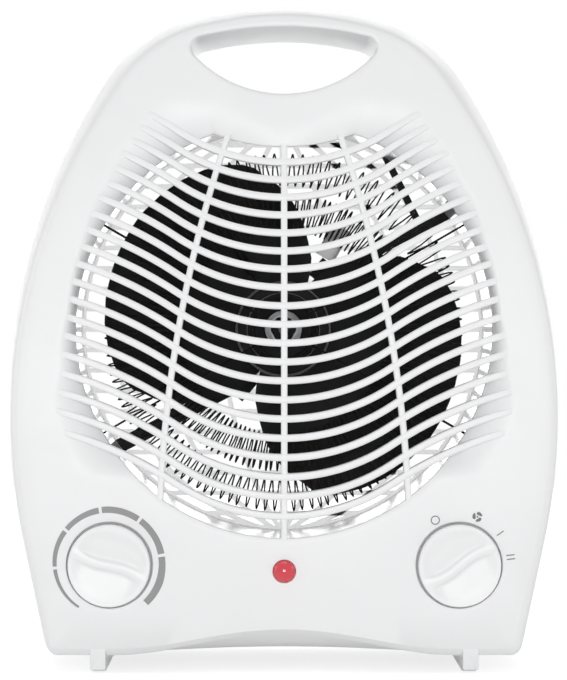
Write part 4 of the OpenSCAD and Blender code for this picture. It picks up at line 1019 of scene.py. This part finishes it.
scaled_wire = metal("scaled_wire", (0.03, 0.028, 0.026), 0.55, (40, 40, 40), 0.3)
shader_of(scaled_wire).inputs["Metallic"].default_value = 0.0
shader_of(scaled_wire).inputs["Specular IOR Level"].default_value = 0.06
dress(coil("inner_heating_wire", 40, 55.6, 135, 0.22), scaled_wire, "heater", "heating_wire", "inner_coil")
dress(coil("outer_heating_wire", 58, 71.4, 122, 0.14), scaled_wire, "heater", "heating_wire", "outer_coil")


# ---- Boards and air duct ----
# The wires' boards are dark phlogopite mica, built up in thin flakes. The duct round
# them and the fan is one white, smoothly moulded tube.
def repaint(node, material):
    """A CAD node whose shape is right keeps it and gets its finished surface."""
    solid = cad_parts[node]
    solid.data.materials.clear()
    solid.data.materials.append(material)


mica = moulded("mica_flakes", (0.012, 0.011, 0.01), 0.55, 0.3, 420, 0.00004)
shader_of(mica).inputs["Specular IOR Level"].default_value = 0.05
repaint("mica_boards", mica)
duct_white = moulded("duct_white", (0.95, 0.95, 0.95), 0.14, 0.01, 1800, 0.000004)
repaint("air_duct", duct_white)


# ---- Motor ----
# A shaded-pole motor behind the fan: a laminated core with one winding, brackets and
# bronze bearings on both sides, two long tie screws, on a black sheet steel support.
motor_turn, tie_x = 50, 19.5


def at_motor(x, y, z):
    """From the upright motor's own axes to its place, turned about the axis."""
    p = Matrix.Rotation(math.radians(motor_turn), 2) @ Vector((x, z))
    return p.x, y, axis_z + p.y


def layered(material, period, axis, depth):
    """Adds sheets or windings to a material: fine even lines across one axis."""
    tree, normal = material.node_tree, shader_of(material).inputs["Normal"]
    place = add_node(tree, "TexCoord").outputs["Object"]
    scale = 2 * math.pi / 20 / (period / 1000)
    lines = add_node(tree, "TexWave", {"Vector": place, "Scale": scale, "Distortion": 0.4},
                     bands_direction=axis)
    bump = add_node(tree, "Bump", {"Height": lines.outputs["Fac"], "Strength": 0.8, "Distance": depth / 1000,
                                   "Normal": normal.links[0].from_socket})
    tree.links.new(bump.outputs["Normal"], normal)
    return material


core_sheets = metal("core_sheets", (0.11, 0.11, 0.115), 0.45, (60, 400, 60), 0.15)
repaint("motor_core", layered(core_sheets, 0.5, "Y", 0.08))
zinc = metal("zinc_plate", (0.62, 0.62, 0.615), 0.33, (80, 300, 80), 0.1)
repaint("motor_front_bracket", zinc)
repaint("motor_rear_bracket", zinc)
bronze = metal("sintered_bronze", (0.42, 0.26, 0.13), 0.45, (200, 200, 200), 0.2, 0.00001)
repaint("motor_bearings", bronze)
black_paint = moulded("black_paint", (0.006, 0.006, 0.0065), 0.38, 0.2, 1300, 0.00002)
shader_of(black_paint).inputs["Specular IOR Level"].default_value = 0.15
repaint("motor_support", black_paint)
repaint("rotor", layered(metal("rotor_sheets", (0.4, 0.4, 0.41), 0.35, (80, 400, 80)), 0.5, "Y", 0.05))
ground_steel = metal("ground_steel", (0.36, 0.36, 0.37), 0.25, (400, 40, 400))
repaint("motor_shaft", metal("blued_steel", (0.05, 0.05, 0.055), 0.35, (400, 40, 400)))


def rounded_box(x0, x1, y0, y1, z0, z1, r, place, ripple=0.0, pitch=0.5, steps=4):
    """Sections along x of a box with rounded long edges, which can swell in rows of wire."""
    count = max(2, round((x1 - x0) / pitch) * steps + 1) if ripple else 2
    sections = []
    for i in range(count):
        x = x0 + (x1 - x0) * i / (count - 1)
        swell = ripple * abs(math.sin(math.pi * (x - x0) / pitch)) if ripple else 0
        section = []
        for cy, cz, a0 in ((y1 - r, z1 - r, 0), (y0 + r, z1 - r, 90),
                           (y0 + r, z0 + r, 180), (y1 - r, z0 + r, 270)):
            for k in range(6):
                q = polar(r + swell, a0 + 18 * k)
                section.append(place(x, cy + q.x, cz + q.y))
        sections.append(section)
    return sections


copper = metal("enamelled_copper", (0.42, 0.13, 0.045), 0.3, (60, 60, 60), 0.12)
winding = stack("winding_turns", rounded_box(-13.1, 13.1, 21.0, 46.2, -44.4, -22.2, 4, at_motor, 0.16))
smooth(winding, 60)
dress(winding, copper, "heater", "winding_copper", "motor_winding")
flanges = [stack("flange", rounded_box(x, x + 0.85, 20.3, 46.9, -45.1, -21.5, 2, at_motor))
           for x in (-14, 13.15)]
bobbin = joined("winding_bobbin", flanges)
smooth(bobbin, 40)
black_nylon = moulded("black_nylon", (0.012, 0.012, 0.012), 0.42, 0.15, 1500, 0.00001)
dress(bobbin, black_nylon, "heater", "black_plastic", "motor_winding")


def crossed(name, head_x, head_z, front, head_r, head_t, shank_r, length, toward=-1):
    """Pan-head screw along Y with a cross recess; toward says which way the head faces."""
    dome = [(0.05, -head_t), (head_r * 0.45, -head_t * 0.96), (head_r * 0.75, -head_t * 0.8),
            (head_r * 0.93, -head_t * 0.5), (head_r, -head_t * 0.15), (head_r, 0), (shank_r, 0),
            (shank_r, length - 0.4), (shank_r - 0.4, length)]
    screw = turned(name, head_x, head_z, [(r, front - toward * y) for r, y in dome], 32)
    for a in (45, 135):
        arm = [(front + toward * (head_t + 1), 0.42), (front + toward * head_t * 0.4, 0.22)]
        head, across, along = Vector((head_x, head_z)), polar(1, a + 90), polar(head_r * 0.62, a)
        rings = []
        for (y, w), k in zip(arm, (1, 0.55)):
            corners = (head + along * s * k + across * t * w for s, t in ((1, 1), (-1, 1), (-1, -1), (1, -1)))
            rings.append([(p.x, y, p.y) for p in corners])
        cut(screw, stack("slot", rings))
    smooth(screw, 35)
    return screw


bright_zinc = metal("bright_zinc", (0.62, 0.62, 0.61), 0.22, (30, 30, 30))
tie_screws = []
for s in (-1, 1):
    x, _, z = at_motor(s * tie_x, 0, 0)
    tie_screws.append(crossed("tie_screw", x, z, 19, 2.8, 1.6, 1.6, 31.1))
    hexagon = [polar(3.001, 60 * k + motor_turn) for k in range(6)]
    tie_screws.append(stack("tie_nut", [[(x + p.x * g, y, z + p.y * g) for p in hexagon]
                                        for y, g in ((50.2, 0.97), (50.4, 1), (51.8, 1), (52.0, 0.94))]))
ties = joined("motor_tie_screws", tie_screws)
dress(ties, bright_zinc, "heater", "screw_steel", "motor_screws")

case_screws = [crossed("case_screw", x, z, screw_seat_y, 3, 2.4, 1.6, 19.5, 1) for x, z in pillars]
dress(joined("casing_cross_screws", case_screws), bright_zinc, "heater", "screw_steel", "casing_screws")


# ---- Safety parts on the boards ----
# A snap-disc cut-out in a white ceramic case with a steel cap and two tabs, and a
# thermal fuse: a small can and its leads in a black woven sleeve.
cut_a, cut_r = 60, 40
side_dir, out_dir = polar(1, cut_a + 90), polar(1, cut_a)


def at_cutout(u, y, w):
    """u outwards and w across, from the middle of the cut-out."""
    p = out_dir * (cut_r + u) + side_dir * w
    return p.x, y, axis_z + p.y


base = stack("cutout_base", rounded_box(-7, 7, -9.9, -6.6, -4, 4, 1.2, at_cutout))
smooth(base, 40)
ceramic = moulded("ceramic_white", (0.9, 0.895, 0.885), 0.3, 0.04, 900, 0.000012)
cap_turns = [polar(1, a) for a in range(0, 360, 10)]
cap = stack("cutout_cap", [[at_cutout(r * p.x, y, r * p.y) for p in cap_turns]
                           for r, y in ((3.8, -6.6), (3.8, -5.2), (3.5, -4.7), (2.4, -4.4), (0.3, -4.3))])
smooth(cap, 40)
tabs = [stack("tab", rounded_box(u - 1.3, u + 1.3, -6.6, -4.05, -0.4, 0.4, 0.2, at_cutout))
        for u in (-5.2, 5.2)]
dress(base, ceramic, "heater", "ceramic", "thermal_cutout")
dress(joined("cutout_cap", [cap] + tabs), bright_zinc, "heater", "screw_steel", "thermal_cutout")
sleeve = moulded("fuse_sleeve", (0.014, 0.014, 0.014), 0.6, 0.3, 1500, 0.00003)
shader_of(sleeve).inputs["Specular IOR Level"].default_value = 0.1
repaint("thermal_fuse", sleeve)


# ---- Controls behind the face ----
# The plate that carries the thermostat and the rotary switch, each clamped by a nut on
# its bush, and the neon lamp behind the red lens.
repaint("control_plate", moulded("plate_white", (0.72, 0.72, 0.7), 0.5, 0.02, 1600, 0.00002))
repaint("thermostat_body", moulded("steatite", (0.74, 0.68, 0.56), 0.35, 0.05, 700, 0.00002))
brass = metal("rolled_brass", (0.62, 0.43, 0.17), 0.28, (40, 300, 40))
repaint("thermostat_bimetal", brass)
repaint("switch_terminals", brass)
for node in ("thermostat_nut", "switch_nut"):
    repaint(node, zinc)
for node in ("thermostat_spindle", "switch_spindle"):
    repaint(node, ground_steel)
repaint("switch_body", moulded("black_phenolic", (0.014, 0.013, 0.012), 0.4, 0.15, 1200, 0.00002))
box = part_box("indicator_lamp")
lamp_y, lamp_end = box[0][1] * 1000, box[1][1] * 1000
bulb_profile = [(0.3, 0), (1.2, 0.3), (2.0, 0.9), (2.45, 1.8), (2.58, 3), (2.58, 8), (2.3, 9.2), (1.2, 9.9),
                (0.2, 10)]
bulb = turned("neon_bulb", 0, lens_z, [(r, lamp_y + y) for r, y in bulb_profile], 40)
smooth(bulb, 40)
glass = moulded("neon_glass", (0.95, 0.93, 0.9), 0.05, 0.01, 500, 0.000002)
shader_of(glass).inputs["Transmission Weight"].default_value = 1.0
dress(bulb, glass, "heater", "neon_glass", "indicator_lamp")
pin = [(0.2, lamp_y + 2.2), (0.4, lamp_y + 2.4), (0.4, lamp_y + 9), (0.4, lamp_end - 0.2), (0.3, lamp_end)]
electrodes = joined("neon_electrodes", [turned("electrode", x, lens_z, pin, 16) for x in (-1, 1)])
smooth(electrodes, 40)
nickel = metal("nickel_wire", (0.5, 0.48, 0.45), 0.3)
dress(electrodes, nickel, "heater", "spindle_steel", "indicator_lamp")


# ---- Finish ----
# The outer boxes of the solids and of the dressed heater are gathered as the script's last value.
low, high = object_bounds()
{"cad": [list(cad_box[0]), list(cad_box[1])], "visual": [list(low), list(high)]}
